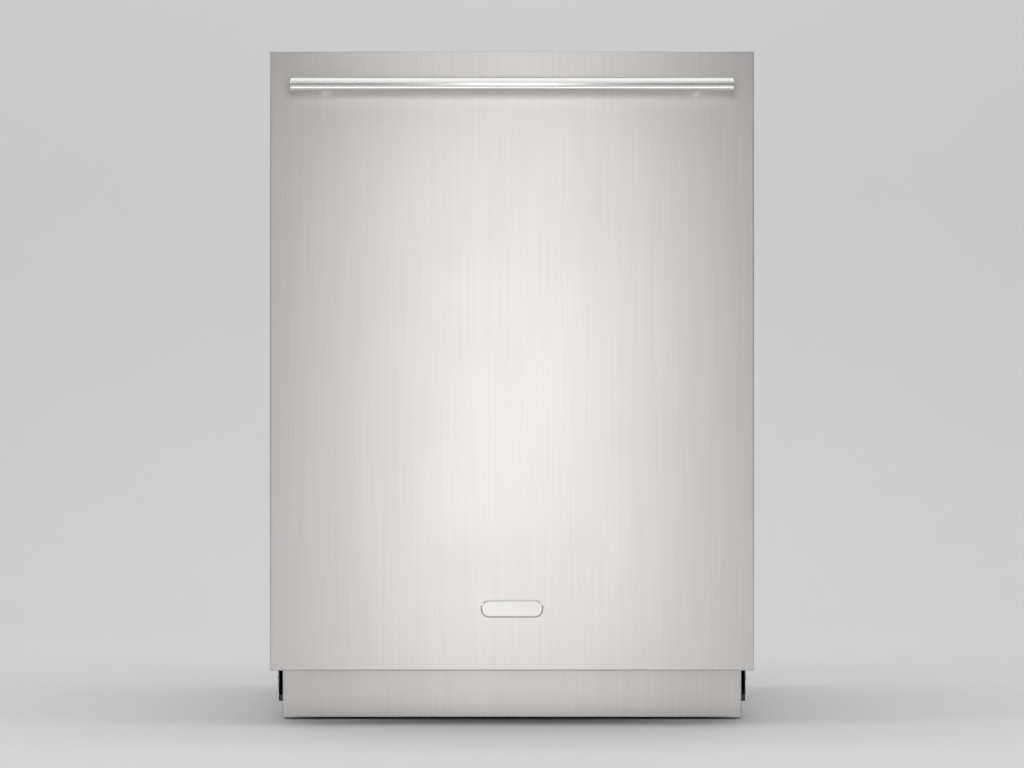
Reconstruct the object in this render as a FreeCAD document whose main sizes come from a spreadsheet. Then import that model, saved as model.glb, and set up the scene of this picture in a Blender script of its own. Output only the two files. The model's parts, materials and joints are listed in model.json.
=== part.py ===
"""Panel-ready built-in dishwasher, modelled closed, as separate pieces.

Frame: millimetres, +Z up, the front faces -Y, and the origin is on the floor under its middle.
"""
import FreeCAD
import Part
import Sketcher
import os
import re

# Driving dimensions, in millimetres: alias, value, what it is
SIZES = [
    ("panel_width", 603, "stainless front panel, across"),
    ("panel_height", 772, "stainless front panel, up"),
    ("panel_depth", 19, "front panel tray, front to back"),
    ("panel_sheet", 1.2, "front panel sheet"),
    ("panel_hem", 14, "flange turned in behind the panel's edges"),
    ("panel_bottom", 70, "floor to the panel's lower edge"),
    ("edge_round", 1.5, "bend radius at the panel's front edges"),
    ("handle_dia", 18, "handle bar"),
    ("handle_length", 546, "handle bar, end to end"),
    ("handle_reach", 60, "panel face to the front of the bar"),
    ("handle_drop", 45.4, "panel's top edge to the bar's axis"),
    ("handle_bevel", 0.8, "bevel on the bar's ends"),
    ("post_dia", 14, "handle post"),
    ("post_inset", 39, "bar's end to a post's axis"),
    ("post_flange_dia", 20, "foot of a handle post"),
    ("post_flange", 3, "thickness of the post's foot"),
    ("saddle_depth", 3, "how far a post's saddle wraps the bar"),
    ("badge_width", 78.5, "blank badge plate, across"),
    ("badge_height", 22, "blank badge plate, up"),
    ("badge_depth", 2.4, "blank badge plate, thickness"),
    ("badge_rise", 77, "panel's lower edge to the badge's middle"),
    ("badge_bevel", 0.8, "bevel round the badge"),
    ("door_depth", 46, "door body behind the panel"),
    ("door_lap", 14, "door body past the tub's mouth"),
    ("door_sheet", 1.2, "door shell and liner sheet"),
    ("door_low", 6, "door body's lower edge below the hinge axis"),
    ("door_gap", 4, "door liner to the tub's front frame"),
    ("hinge_height", 116, "floor to the door's hinge axis"),
    ("hinge_setback", 46, "panel face to the hinge axis"),
    ("pin_dia", 10, "hinge pin"),
    ("run_gap", 0.05, "radial clearance of a running pin"),
    ("ear_sheet", 4, "hinge plates"),
    ("ear_gap", 4, "between hinge arm and hinge bracket"),
    ("ear_radius", 14, "rounded nose of the hinge plates"),
    ("arm_height", 150, "hinge arm up the door's side"),
    ("console_height", 39, "control console on top of the door"),
    ("console_top_gap", 7, "panel's top edge to the console's top"),
    ("console_wall", 2.5, "console moulding"),
    ("window_width", 96, "display window, across"),
    ("window_deep", 14, "display window, front to back"),
    ("window_thick", 1.6, "display window"),
    ("window_x", 60, "display window, to the right of the middle"),
    ("button_long", 18, "button, across"),
    ("button_deep", 8, "button, front to back"),
    ("button_tall", 5, "button, up"),
    ("button_proud", 0.6, "button above the console"),
    ("button_gap", 0.4, "clearance round a button"),
    ("button_pitch", 30, "between buttons"),
    ("board_thick", 1.6, "control board"),
    ("board_long", 200, "control board, across"),
    ("board_ledge", 10, "console's top to the control board"),
    ("latch_width", 30, "latch slot in the console"),
    ("latch_height", 12, "latch slot, up"),
    ("latch_depth", 30, "latch slot, front to back"),
    ("striker_width", 22, "striker tongue"),
    ("striker_thick", 2.5, "striker tongue"),
    ("striker_reach", 24, "striker tongue ahead of the tub's frame"),
    ("plunger_dia", 9, "latch plunger"),
    ("plunger_tall", 12, "latch plunger"),
    ("striker_plate", 2, "striker's foot on the tub's frame"),
    ("striker_foot", 44, "striker's foot, across"),
    ("striker_foot_tall", 10, "striker's foot, up"),
    ("plunger_set", 8, "striker's tip to the plunger"),
    ("fit_gap", 0.3, "clearance between pieces that only rest near each other"),
    ("dispenser_width", 230, "detergent dispenser, across"),
    ("dispenser_height", 150, "detergent dispenser, up"),
    ("dispenser_deep", 34, "detergent dispenser into the door"),
    ("dispenser_proud", 5, "dispenser's rim ahead of the liner"),
    ("dispenser_rise", 365, "hinge axis to the dispenser's middle"),
    ("cup_width", 104, "detergent cup"),
    ("cup_height", 78, "detergent cup, up"),
    ("cup_deep", 28, "detergent cup"),
    ("cup_x", -46, "detergent cup's middle from the dispenser's middle"),
    ("lid_thick", 3, "detergent lid"),
    ("lid_rail", 4, "rail above and below the lid"),
    ("lid_travel", 104, "detergent lid's slide"),
    ("lid_lap", 4, "lid past the cup's edge"),
    ("rinse_dia", 46, "rinse aid cap"),
    ("rinse_x", 62, "rinse aid cap from the dispenser's middle"),
    ("rinse_thick", 6, "rinse aid cap"),
    ("rinse_seat", 2, "rinse aid cap below the dispenser's face"),
    ("rinse_grip", 5, "grip bar across the rinse aid cap"),
    ("cabinet_depth", 533, "front frame to the back of the machine"),
    ("cabinet_top", 838, "floor to the cabinet's top"),
    ("case_sheet", 1, "outer casing sheet"),
    ("tub_half", 268, "half the tub's width inside"),
    ("tub_floor", 150, "floor to the tub's floor"),
    ("tub_ceiling", 802, "floor to the tub's ceiling"),
    ("tub_back_gap", 24, "tub's back wall to the back of the machine"),
    ("tub_sheet", 1, "tub sheet"),
    ("tub_corner", 12, "tub's inner corner radius"),
    ("frame_low", 128, "floor to the lower edge of the tub's front frame"),
    ("frame_return", 26, "tub's front frame, turned back along the top"),
    ("gasket_wide", 14, "door gasket, across"),
    ("gasket_set", 2, "tub's mouth to the gasket"),
    ("seal_thick", 3.4, "seal along the door's lower edge"),
    ("seal_tall", 12, "seal along the door's lower edge, up"),
    ("gasket_lift", 18, "hinge axis to the gasket's lower end"),
    ("base_bottom", 22, "floor to the base's underside"),
    ("base_floor", 8, "base plate thickness"),
    ("base_wall", 3, "base tray wall"),
    ("rib_x", 222, "base rib under the tub, from the middle"),
    ("window_low", 6, "base plate to the service window"),
    ("window_high", 16, "service window to the base's top"),
    ("window_left", 170, "service window, left of the middle"),
    ("window_right", 250, "service window, right of the middle"),
    ("kick_setback", 100, "panel face to the kick plate"),
    ("kick_half", 292, "half the kick plate's width"),
    ("kick_gap", 3, "floor to the kick plate"),
    ("kick_height", 82, "kick plate, up"),
    ("kick_sheet", 1.2, "kick plate sheet"),
    ("kick_return", 16, "kick plate's ends, turned back"),
    ("kick_tab", 24, "kick plate's screw tab, across"),
    ("kick_tab_lap", 12, "kick plate's screw tab under the base"),
    ("foot_dia", 42, "levelling foot's pad"),
    ("foot_pad", 9, "levelling foot's pad, up"),
    ("foot_stem", 12, "levelling foot's stem"),
    ("foot_rise", 62, "levelling foot, up"),
    ("foot_inset_x", 46, "foot from the base's side"),
    ("foot_inset_y", 52, "foot from the base's front and back"),
    ("boss_dia", 26, "boss round a foot's stem"),
    ("boss_rise", 26, "boss above the base plate"),
    ("bracket_long", 44, "countertop bracket, across"),
    ("bracket_deep", 44, "countertop bracket, front to back"),
    ("bracket_thick", 1.5, "countertop bracket"),
    ("bracket_ahead", 18, "countertop bracket ahead of the frame"),
    ("bracket_x", 210, "countertop bracket from the middle"),
    ("bracket_hole", 5, "screw hole in the countertop bracket"),
    ("bracket_pitch", 24, "between the bracket's screw holes"),
    ("blanket_thick", 11, "sound blanket round the tub"),
    ("rack_gap", 32, "tub's wall to a rack"),
    ("rack_setback", 34, "tub's front frame to the racks' fronts"),
    ("rack_deep", 440, "racks, front to back"),
    ("bays_across", 12, "bays between wires across a rack"),
    ("bays_along", 11, "bays between wires along a rack"),
    ("lower_levels", 3, "bays up the lower rack's walls"),
    ("upper_levels", 2, "bays up the upper rack's walls"),
    ("wire", 4, "rack wire"),
    ("lower_floor", 210, "floor to the lower rack's wires"),
    ("lower_tall", 170, "lower rack, up"),
    ("upper_floor", 496, "floor to the upper rack's wires"),
    ("upper_tall", 120, "upper rack, up"),
    ("tray_floor", 716, "floor to the cutlery tray's wires"),
    ("tray_tall", 38, "cutlery tray, up"),
    ("tine_tall", 96, "lower rack's plate tines"),
    ("cup_tine_tall", 52, "upper rack's tines"),
    ("wheel_dia", 32, "lower rack's wheels"),
    ("wheel_wide", 10, "lower rack's wheels, across"),
    ("wheel_front", 100, "rack's front to the front wheels"),
    ("wheel_rear", 60, "rack's back to the rear wheels"),
    ("axle_dia", 6, "wheel's axle"),
    ("hanger_wide", 22, "hanger over a wheel, front to back"),
    ("axle_end", 2, "axle past the wheel"),
    ("axle_flange", 2.5, "shoulder between wheel and rack"),
    ("basket_wide", 92, "cutlery basket, across"),
    ("basket_long", 236, "cutlery basket, front to back"),
    ("basket_tall", 120, "cutlery basket, up"),
    ("basket_wall", 2, "cutlery basket moulding"),
    ("basket_cells", 4, "cells along the cutlery basket"),
    ("basket_grip", 44, "cutlery basket's handle above its rim"),
    ("basket_side", 8, "rack's side to the cutlery basket"),
    ("basket_front", 40, "rack's front to the cutlery basket"),
    ("rail_long", 470, "rack rail"),
    ("rail_thick", 12, "rack rail, across"),
    ("rail_tall", 24, "upper rack's rail, up"),
    ("tray_rail_tall", 14, "cutlery tray's rail, up"),
    ("groove_deep", 6, "groove in a rack rail"),
    ("slide_gap", 0.5, "running gap round a slide bar"),
    ("lug_long", 30, "lug between rack and slide bar"),
    ("slide_long", 440, "slide bar"),
    ("slide_thick", 8, "slide bar, across"),
    ("upper_rail_rise", 48, "upper rack's wires to its rail"),
    ("tray_rail_rise", 12, "tray's wires to its rail"),
    ("arm_long", 440, "lower and middle spray arm, tip to tip"),
    ("top_arm_long", 280, "top spray arm, tip to tip"),
    ("arm_wide", 44, "spray arm, across its middle"),
    ("arm_tip", 26, "spray arm, across its tips"),
    ("arm_thick", 12, "spray arm"),
    ("hub_dia", 46, "spray arm's hub"),
    ("hub_tall", 20, "spray arm's hub, up"),
    ("hub_gap", 1, "running gap above and below a spray arm's hub"),
    ("spindle_cap", 3, "cap that holds a spray arm"),
    ("spindle_cap_dia", 26, "cap that holds a spray arm, across"),
    ("spindle_dia", 16, "spindle in a spray arm's hub"),
    ("jet_dia", 3.2, "spray jet"),
    ("jet_pitch", 34, "between spray jets"),
    ("jet_deep", 4, "spray jet into the arm"),
    ("feed_wide", 26, "upper rack's water pipe, across"),
    ("feed_tall", 10, "upper rack's water pipe, up"),
    ("floor_duct", 10, "wash duct along the tub's floor, up"),
    ("duct_wide", 54, "wash duct on the tub's back, across"),
    ("duct_deep", 16, "wash duct, front to back"),
    ("ceiling_duct", 12, "wash duct along the ceiling, up"),
    ("filter_x", 96, "filter from the tub's middle, across"),
    ("filter_y", -92, "filter from the tub's middle, towards the door"),
    ("filter_dia", 80, "filter basket"),
    ("filter_tall", 62, "filter basket, up"),
    ("filter_wall", 1.6, "filter basket wall"),
    ("filter_rim", 4, "filter basket's rim past its wall"),
    ("filter_rim_thick", 3, "filter basket's rim"),
    ("filter_grip", 7, "grip across the filter basket, up"),
    ("plate_dia", 176, "filter plate"),
    ("plate_thick", 2, "filter plate"),
    ("sump_dia", 132, "sump cup"),
    ("sump_deep", 78, "sump cup below the tub's floor"),
    ("sump_flange", 20, "sump flange past the cup"),
    ("port_wide", 40, "sump's pump port, across"),
    ("port_tall", 30, "sump's pump port, up"),
    ("port_reach", 8, "sump's pump port past the cup"),
    ("saddle_wide", 50, "pump saddle"),
    ("sump_wall", 3, "sump moulding"),
    ("pump_dia", 84, "circulation pump"),
    ("pump_long", 128, "circulation pump, along its shaft"),
    ("drain_dia", 56, "drain pump"),
    ("drain_long", 74, "drain pump, along its shaft"),
    ("spigot_dia", 19, "drain spigot for the hose"),
    ("spigot_long", 28, "drain spigot"),
    ("spigot_wall", 2.5, "wall of the spigot"),
    ("thread_dia", 26.4, "water inlet thread, outside"),
    ("thread_long", 14, "water inlet thread"),
    ("valve_x", -110, "inlet valve from the middle"),
    ("valve_side", 40, "inlet valve body"),
    ("valve_tall", 70, "inlet valve body, up"),
    ("thread_rise", 50, "base plate to the inlet thread's axis"),
    ("float_dia", 34, "float cup"),
    ("float_tall", 22, "float cup, up"),
    ("float_stem", 12, "float cup's stem"),
    ("float_drop", 30, "stem below the tub's floor"),
    ("float_x", -205, "float cup from the middle"),
    ("float_y", 62, "tub's front to the float cup"),
    ("box_wide", 86, "terminal box, across"),
    ("box_deep", 60, "terminal box, front to back"),
    ("box_tall", 48, "terminal box, up"),
    ("gland_dia", 22, "cable entry in the terminal box"),
    ("gland_long", 12, "cable entry's collar, along the cable"),
    ("gland_wall", 4, "cable entry's collar"),
    ("terminal_x", 168, "terminal box from the middle"),
]
ALIASES = {alias for alias, _, _ in SIZES}

# Places worked out from the driving dimensions
PLACES = {
    "whole_depth": "handle_reach + panel_depth + door_depth + door_gap + cabinet_depth",
    "panel_face": "handle_reach - whole_depth / 2",
    "panel_top": "panel_bottom + panel_height",
    "door_front": "panel_face + panel_depth",
    "door_back": "door_front + door_depth",
    "frame_front": "door_back + door_gap",
    "rear": "frame_front + cabinet_depth",
    "hinge_y": "panel_face + hinge_setback",
    "door_bottom": "hinge_height - door_low",
    "console_top": "panel_top - console_top_gap",
    "console_bottom": "console_top - console_height",
    "handle_z": "panel_top - handle_drop",
    "handle_y": "panel_face - handle_reach + handle_dia / 2",
    "tub_inner_front": "frame_front + tub_sheet",
    "tub_inner_back": "rear - tub_back_gap",
    "tub_mid_y": "(tub_inner_front + tub_inner_back) / 2",
    "base_front": "panel_face + kick_setback + kick_return",
    "base_top": "tub_floor - tub_sheet",
    "rack_front": "frame_front + rack_setback",
    "rack_back": "rack_front + rack_deep",
    "latch_floor": "console_top - latch_height - console_wall",
    "striker_z": "latch_floor + latch_height / 2",
    "button_y": "door_front + door_depth / 2",
    "dispenser_z": "hinge_height + dispenser_rise",
    "dispenser_face": "door_back + dispenser_proud",
    "sump_bottom": "base_top - sump_deep",
    "filter_mid_y": "tub_mid_y + filter_y",
    "plate_floor": "base_bottom + base_floor",
    "post_x": "handle_length / 2 - post_inset",
    "door_half": "tub_half + door_lap",
    "rack_half": "tub_half - rack_gap",
    "basket_x": "rack_half - basket_side - basket_wide / 2",
    "arm_outer": "door_half + ear_sheet",
    "base_half": "arm_outer + ear_gap",
    "cabinet_half": "base_half + ear_sheet + ear_gap",
    "slide_half": "rail_half + groove_deep - slide_gap",
    "lower_arm_z": "tub_floor + floor_duct + hub_gap + hub_tall / 2",
    "middle_arm_z": "upper_floor - feed_tall - hub_gap - hub_tall / 2",
    "top_arm_z": "tub_ceiling - ceiling_duct - hub_gap - hub_tall / 2",
    "pump_z": "sump_bottom + sump_wall + port_tall / 2 + port_reach",
    "wheel_z": "tub_floor + fit_gap + wheel_dia / 2",
    "button_x": "-2 * latch_width",
    "valve_front": "rear - valve_side - thread_long - base_wall",
    "box_front": "rear - box_deep - gland_long - base_wall",
    "rail_half": "tub_half - rail_thick",
}

doc = FreeCAD.newDocument("Dishwasher")
sheet = doc.addObject("Spreadsheet::Sheet", "Sizes")
for row, (alias, value, meaning) in enumerate(SIZES, start=1):
    sheet.set(f"A{row}", meaning)
    sheet.set(f"B{row}", str(value))
    sheet.setAlias(f"B{row}", alias)
doc.recompute()
probe = doc.addObject("Part::Vertex", "Probe")
NODES = []


# Helpers

def formula(text):
    """An expression in the sheet's aliases, with every place written out."""
    def word(match):
        name = match.group(0)
        if name in PLACES:
            return f"({formula(PLACES[name])})"
        return f"Sizes.{name}" if name in ALIASES else name
    return re.sub(r"[A-Za-z_]\w*", word, str(text))


def number(text):
    """The value of an expression, in millimetres."""
    probe.setExpression("X", formula(text))
    probe.recompute()
    return probe.X.Value


def bind(thing, **expressions):
    for name, text in expressions.items():
        thing.setExpression(name, formula(text))
    return thing


def place(thing, x="0", y="0", z="0"):
    for axis, text in zip("xyz", (x, y, z)):
        thing.setExpression(f"Placement.Base.{axis}", formula(text))
    return thing


def block(name, x, y, z, dx, dy, dz):
    """A box from its low corner and its three sizes."""
    made = doc.addObject("Part::Box", name)
    return place(bind(made, Length=dx, Width=dy, Height=dz), x, y, z)


TURNS = {
    "x": FreeCAD.Rotation(FreeCAD.Vector(0, 1, 0), 90),
    "y": FreeCAD.Rotation(FreeCAD.Vector(1, 0, 0), -90),
    "z": FreeCAD.Rotation(),
}


def rod(name, axis, x, y, z, radius, length):
    """A cylinder that starts at x, y, z and runs along +axis."""
    made = doc.addObject("Part::Cylinder", name)
    made.Placement = FreeCAD.Placement(FreeCAD.Vector(), TURNS[axis])
    return place(bind(made, Radius=radius, Height=length), x, y, z)


def cut(name, base, *tools):
    made = doc.addObject("Part::Cut", name)
    made.Base = base
    made.Tool = tools[0] if len(tools) == 1 else join(name + "_tools", *tools)
    return made


def join(name, *pieces):
    made = doc.addObject("Part::MultiFuse", name)
    made.Shapes = list(pieces)
    return made


def group(name, *pieces):
    """Separate solids that share one node."""
    made = doc.addObject("Part::Compound", name)
    made.Links = list(pieces)
    return made


def mirrored(name, source):
    """The same piece on the other side of the middle plane."""
    made = doc.addObject("Part::Mirroring", name)
    made.Source = source
    made.Normal = FreeCAD.Vector(1, 0, 0)
    return made


def rounded(name, base, size, choose):
    """Fillets the edges that choose(edge) accepts."""
    doc.recompute()
    radius = number(size)
    made = doc.addObject("Part::Fillet", name)
    made.Base = base
    made.Edges = [(i, radius, radius) for i, e in enumerate(base.Shape.Edges, start=1) if choose(e)]
    return made


def runs_along(edge, axis):
    """True for a straight edge parallel to that axis."""
    ends = [vertex.Point for vertex in edge.Vertexes]
    if len(ends) != 2 or not isinstance(edge.Curve, Part.Line):
        return False
    way = (ends[1] - ends[0]).normalize()
    return abs(getattr(way, axis)) > 0.999


def outline(body, plane, points):
    """A closed sketch of straight lines on one of the body's own planes, each corner bound to the sheet."""
    made = body.newObject("Sketcher::SketchObject", body.Name + "_sketch")
    support = next(f for f in body.Origin.OriginFeatures if f.Role == plane)
    made.AttachmentSupport = [(support, "")]
    made.MapMode = "FlatFace"
    corners = [FreeCAD.Vector(number(a), number(b), 0) for a, b in points]
    for i, corner in enumerate(corners):
        made.addGeometry(Part.LineSegment(corner, corners[(i + 1) % len(corners)]), False)
    for i in range(len(corners)):
        made.addConstraint(Sketcher.Constraint("Coincident", i, 2, (i + 1) % len(corners), 1))
    for i, pair in enumerate(points):
        for kind, axis, text in zip(("DistanceX", "DistanceY"), (-2, -1), pair):
            if text == "0":
                made.addConstraint(Sketcher.Constraint("PointOnObject", i, 1, axis))
                continue
            k = made.addConstraint(Sketcher.Constraint(kind, -1, 1, i, 1, number(text)))
            made.setExpression(f"Constraints[{k}]", formula(text))
    return made


def turned(name, points):
    """A body turned about its own Z axis from a profile of (radius, height) corners."""
    body = doc.addObject("PartDesign::Body", name)
    profile = outline(body, "XZ_Plane", points)
    spin = body.newObject("PartDesign::Revolution", name + "_turn")
    spin.Profile = profile
    spin.ReferenceAxis = (profile, ["V_Axis"])
    spin.Angle = 360
    return body


def padded(name, plane, points, length):
    """A body pushed out from a sketch, both ways from its plane."""
    body = doc.addObject("PartDesign::Body", name)
    pad = body.newObject("PartDesign::Pad", name + "_pad")
    pad.Profile = outline(body, plane, points)
    pad.SideType = "Symmetric"
    bind(pad, Length=length)
    return body


def node(thing, label):
    """Registers a finished sub-part under its own name."""
    thing.Label = label
    NODES.append(thing)
    return thing


# Door

def front_panel():
    """Folded stainless tray: front skin, four edges and a flange turned in all round the back."""
    tray = block("panel_block", "-panel_width / 2", "panel_face", "panel_bottom",
                 "panel_width", "panel_depth", "panel_height")
    face = number("panel_face")
    folded = rounded("panel_folded", tray, "edge_round",
                     lambda e: all(abs(v.Y - face) < 0.01 for v in e.Vertexes))
    inside = block("panel_inside", "-panel_width / 2 + panel_sheet", "panel_face + panel_sheet",
                   "panel_bottom + panel_sheet", "panel_width - 2 * panel_sheet",
                   "panel_depth - 2 * panel_sheet", "panel_height - 2 * panel_sheet")
    mouth = block("panel_mouth", "-panel_width / 2 + panel_hem", "door_front - 2 * panel_sheet",
                  "panel_bottom + panel_hem", "panel_width - 2 * panel_hem", "3 * panel_sheet",
                  "panel_height - 2 * panel_hem")
    node(cut("panel_tray", folded, inside, mouth), "door_panel")


def handle():
    end = "handle_dia / 2 - handle_bevel"
    bar = turned("bar", [("0", "0"), (end, "0"), ("handle_dia / 2", "handle_bevel"),
                         ("handle_dia / 2", "handle_length - handle_bevel"),
                         (end, "handle_length"), ("0", "handle_length")])
    bar.Placement = FreeCAD.Placement(FreeCAD.Vector(), TURNS["x"])
    node(place(bar, "-handle_length / 2", "handle_y", "handle_z"), "handle_bar")
    stem = rod("post_stem", "y", "post_x", "handle_y + handle_dia / 2 - saddle_depth", "handle_z",
               "post_dia / 2", "handle_reach - handle_dia + saddle_depth")
    foot = rod("post_foot", "y", "post_x", "panel_face - post_flange", "handle_z",
               "post_flange_dia / 2", "post_flange")
    round_bar = rod("post_saddle", "x", "-handle_length / 2", "handle_y", "handle_z",
                    "handle_dia / 2 + run_gap", "handle_length")
    right = cut("post_right", join("post_body", stem, foot), round_bar)
    node(group("posts", right, mirrored("post_left", right)), "handle_posts")


def badge():
    """A bare pill-shaped plate with a bevelled rim."""
    plate = block("badge_block", "-badge_width / 2", "panel_face - badge_depth",
                  "panel_bottom + badge_rise - badge_height / 2",
                  "badge_width", "badge_depth", "badge_height")
    pill = rounded("badge_pill", plate, "badge_height / 2 - 0.01", lambda e: runs_along(e, "y"))
    doc.recompute()
    front = number("panel_face - badge_depth")
    rim = doc.addObject("Part::Chamfer", "badge_rim")
    rim.Base = pill
    size = number("badge_bevel")
    rim.Edges = [(i, size, size) for i, e in enumerate(pill.Shape.Edges, start=1)
                 if all(abs(v.Y - front) < 0.01 for v in e.Vertexes)]
    node(rim, "badge_plate")


def door_body():
    """Steel shell behind the panel, stainless liner facing the tub, and the mat between them."""
    tall = "console_bottom - door_bottom"
    outer = block("shell_block", "-door_half", "door_front", "door_bottom",
                  "2 * door_half", "door_depth - door_sheet", tall)
    hollow = block("shell_hollow", "-door_half + door_sheet", "door_front + door_sheet",
                   "door_bottom + door_sheet", "2 * (door_half - door_sheet)", "door_depth",
                   f"{tall} - 2 * door_sheet")
    node(cut("shell", outer, hollow), "door_shell")
    sheet_metal = block("liner_sheet", "-door_half", "door_back - door_sheet", "door_bottom",
                        "2 * door_half", "door_sheet", tall)
    window = block("liner_window", "-dispenser_width / 2", "door_back - 2 * door_sheet",
                   "dispenser_z - dispenser_height / 2",
                   "dispenser_width", "3 * door_sheet", "dispenser_height")
    node(cut("liner", sheet_metal, window), "door_liner")
    mat = block("mat_block", "-door_half + door_sheet + fit_gap", "door_front + door_sheet + fit_gap",
                "door_bottom + door_sheet + fit_gap", "2 * (door_half - door_sheet - fit_gap)",
                "door_depth - 2 * door_sheet - 2 * fit_gap", f"{tall} - 2 * door_sheet - 2 * fit_gap")
    pocket = block("mat_pocket", "-dispenser_width / 2 - fit_gap", "door_back - dispenser_deep - fit_gap",
                   "dispenser_z - dispenser_height / 2 - fit_gap", "dispenser_width + 2 * fit_gap",
                   "dispenser_deep", "dispenser_height + 2 * fit_gap")
    node(cut("mat", mat, pocket), "door_insulation")
    seal = block("seal_strip", "-tub_half", "door_back", "door_bottom",
                 "2 * tub_half", "seal_thick", "seal_tall")
    node(seal, "door_bottom_seal")


BUTTONS = ("power", "cycle", "option", "start")


def console():
    """Moulded console along the door's top edge, with its window, board, buttons and latch."""
    outer = block("console_block", "-door_half", "door_front", "console_bottom",
                  "2 * door_half", "door_depth", "console_height")
    hollow = block("console_hollow", "-door_half + console_wall", "door_front + console_wall",
                   "console_bottom - console_wall", "2 * (door_half - console_wall)",
                   "door_depth - 2 * console_wall", "console_height")
    guide = block("latch_guide", "-latch_width / 2", "door_back - latch_depth", "console_bottom",
                  "latch_width", "latch_depth", "latch_floor - console_bottom")
    slot = block("latch_slot", "-latch_width / 2", "door_back - latch_depth", "latch_floor",
                 "latch_width", "latch_depth + console_wall", "latch_height")
    plunger_y = "frame_front - striker_reach + plunger_set"
    bore = rod("plunger_bore", "z", "0", plunger_y, "console_bottom - console_wall",
               "plunger_dia / 2 + run_gap", "console_height")
    recess = block("window_recess", "window_x - window_width / 2", "button_y - window_deep / 2",
                   "console_top - window_thick", "window_width", "window_deep", "2 * window_thick")
    holes = []
    for i, name in enumerate(BUTTONS):
        middle = f"button_x - {i} * button_pitch"
        holes.append(block(f"{name}_hole", f"{middle} - button_long / 2 - button_gap",
                           "button_y - button_deep / 2 - button_gap", "console_top - 2 * console_wall",
                           "button_long + 2 * button_gap", "button_deep + 2 * button_gap",
                           "3 * console_wall"))
        key = block(f"{name}_block", f"{middle} - button_long / 2", "button_y - button_deep / 2",
                    "console_top + button_proud - button_tall", "button_long", "button_deep", "button_tall")
        soft = rounded(f"{name}_key", key, "button_deep / 2 - 0.01", lambda e: runs_along(e, "z"))
        node(soft, f"{name}_button")
    moulding = join("console_body", cut("console_shell", outer, hollow), guide)
    node(cut("console", moulding, slot, bore, recess, *holes), "control_console")
    pane = block("window_pane", "window_x - window_width / 2 + run_gap",
                 "button_y - window_deep / 2 + run_gap", "console_top - window_thick",
                 "window_width - 2 * run_gap", "window_deep - 2 * run_gap", "window_thick")
    node(pane, "display_window")
    board = block("board", "latch_width", "door_front + console_wall", "console_top - board_ledge",
                  "board_long", "door_depth - 2 * console_wall", "board_thick")
    node(board, "control_board")
    top = "striker_z - striker_thick / 2 - fit_gap"
    plunger = rod("plunger", "z", "0", plunger_y, f"{top} - plunger_tall", "plunger_dia / 2", "plunger_tall")
    node(rounded("plunger_nose", plunger, "plunger_dia / 4",
                 lambda e: abs(e.BoundBox.ZMin - number(top)) < 0.01), "latch_plunger")


def dispenser():
    """Detergent cup with a sliding lid in two rails, and a rinse aid cap that turns in its seat."""
    low = "dispenser_z - dispenser_height / 2"
    body = block("dispenser_block", "-dispenser_width / 2", "door_back - dispenser_deep", low,
                 "dispenser_width", "dispenser_deep + dispenser_proud", "dispenser_height")
    cup = block("cup_hollow", "cup_x - cup_width / 2", "dispenser_face - cup_deep",
                "dispenser_z - cup_height / 2", "cup_width", "2 * cup_deep", "cup_height")
    seat_face = "dispenser_face - rinse_seat - rinse_thick"
    seat = rod("rinse_hollow", "y", "rinse_x", seat_face, "dispenser_z",
               "rinse_dia / 2 + run_gap", "2 * rinse_thick")
    half_lid = "(cup_height / 2 + lid_lap)"
    rail_long = "cup_width + 2 * lid_lap + lid_travel"
    rails = [block(f"lid_rail_{side}", "cup_x - cup_width / 2 - lid_lap", "dispenser_face", z,
                   rail_long, "lid_thick + fit_gap", "lid_rail")
             for side, z in (("top", f"dispenser_z + {half_lid} + fit_gap"),
                             ("bottom", f"dispenser_z - {half_lid} - fit_gap - lid_rail"))]
    node(cut("dispenser", join("dispenser_whole", body, *rails), cup, seat), "dispenser_body")
    lid = block("lid", "cup_x - cup_width / 2 - lid_lap", "dispenser_face + fit_gap",
                f"dispenser_z - {half_lid}", "cup_width + 2 * lid_lap", "lid_thick", f"2 * {half_lid}")
    node(lid, "detergent_lid")
    disc = rod("rinse_disc", "y", "rinse_x", seat_face, "dispenser_z", "rinse_dia / 2", "rinse_thick")
    grip = block("rinse_grip_bar", "rinse_x - rinse_dia / 3", f"{seat_face} + rinse_thick",
                 "dispenser_z - rinse_grip / 2", "2 * rinse_dia / 3", "rinse_seat - run_gap", "rinse_grip")
    node(join("rinse", disc, grip), "rinse_cap")


def hinges():
    """Steel arms on the door's sides turn on pins that stand on brackets of the base."""
    nose = rod("arm_nose", "x", "door_half", "hinge_y", "hinge_height", "ear_radius", "ear_sheet")
    strap = block("arm_strap", "door_half", "hinge_y - ear_radius", "hinge_height",
                  "ear_sheet", "2 * ear_radius", "arm_height")
    bore = rod("arm_bore", "x", "door_half - ear_gap", "hinge_y", "hinge_height",
               "pin_dia / 2 + run_gap", "ear_sheet + 2 * ear_gap")
    right = cut("arm_right", join("arm_plate", nose, strap), bore)
    node(group("arms", right, mirrored("arm_left", right)), "hinge_arms")
    tip = rod("bracket_nose", "x", "base_half", "hinge_y", "hinge_height", "ear_radius", "ear_sheet")
    plate = block("bracket_plate", "base_half", "hinge_y", "hinge_height - ear_radius",
                  "ear_sheet", "base_front + arm_height / 2 - hinge_y", "3 * ear_radius / 2")
    pin = rod("hinge_pin", "x", "door_half + fit_gap", "hinge_y", "hinge_height",
              "pin_dia / 2", "base_half - door_half - fit_gap")
    fixed = join("bracket_right", tip, plate, pin)
    node(group("brackets", fixed, mirrored("bracket_left", fixed)), "hinge_brackets")


# Cabinet

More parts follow.
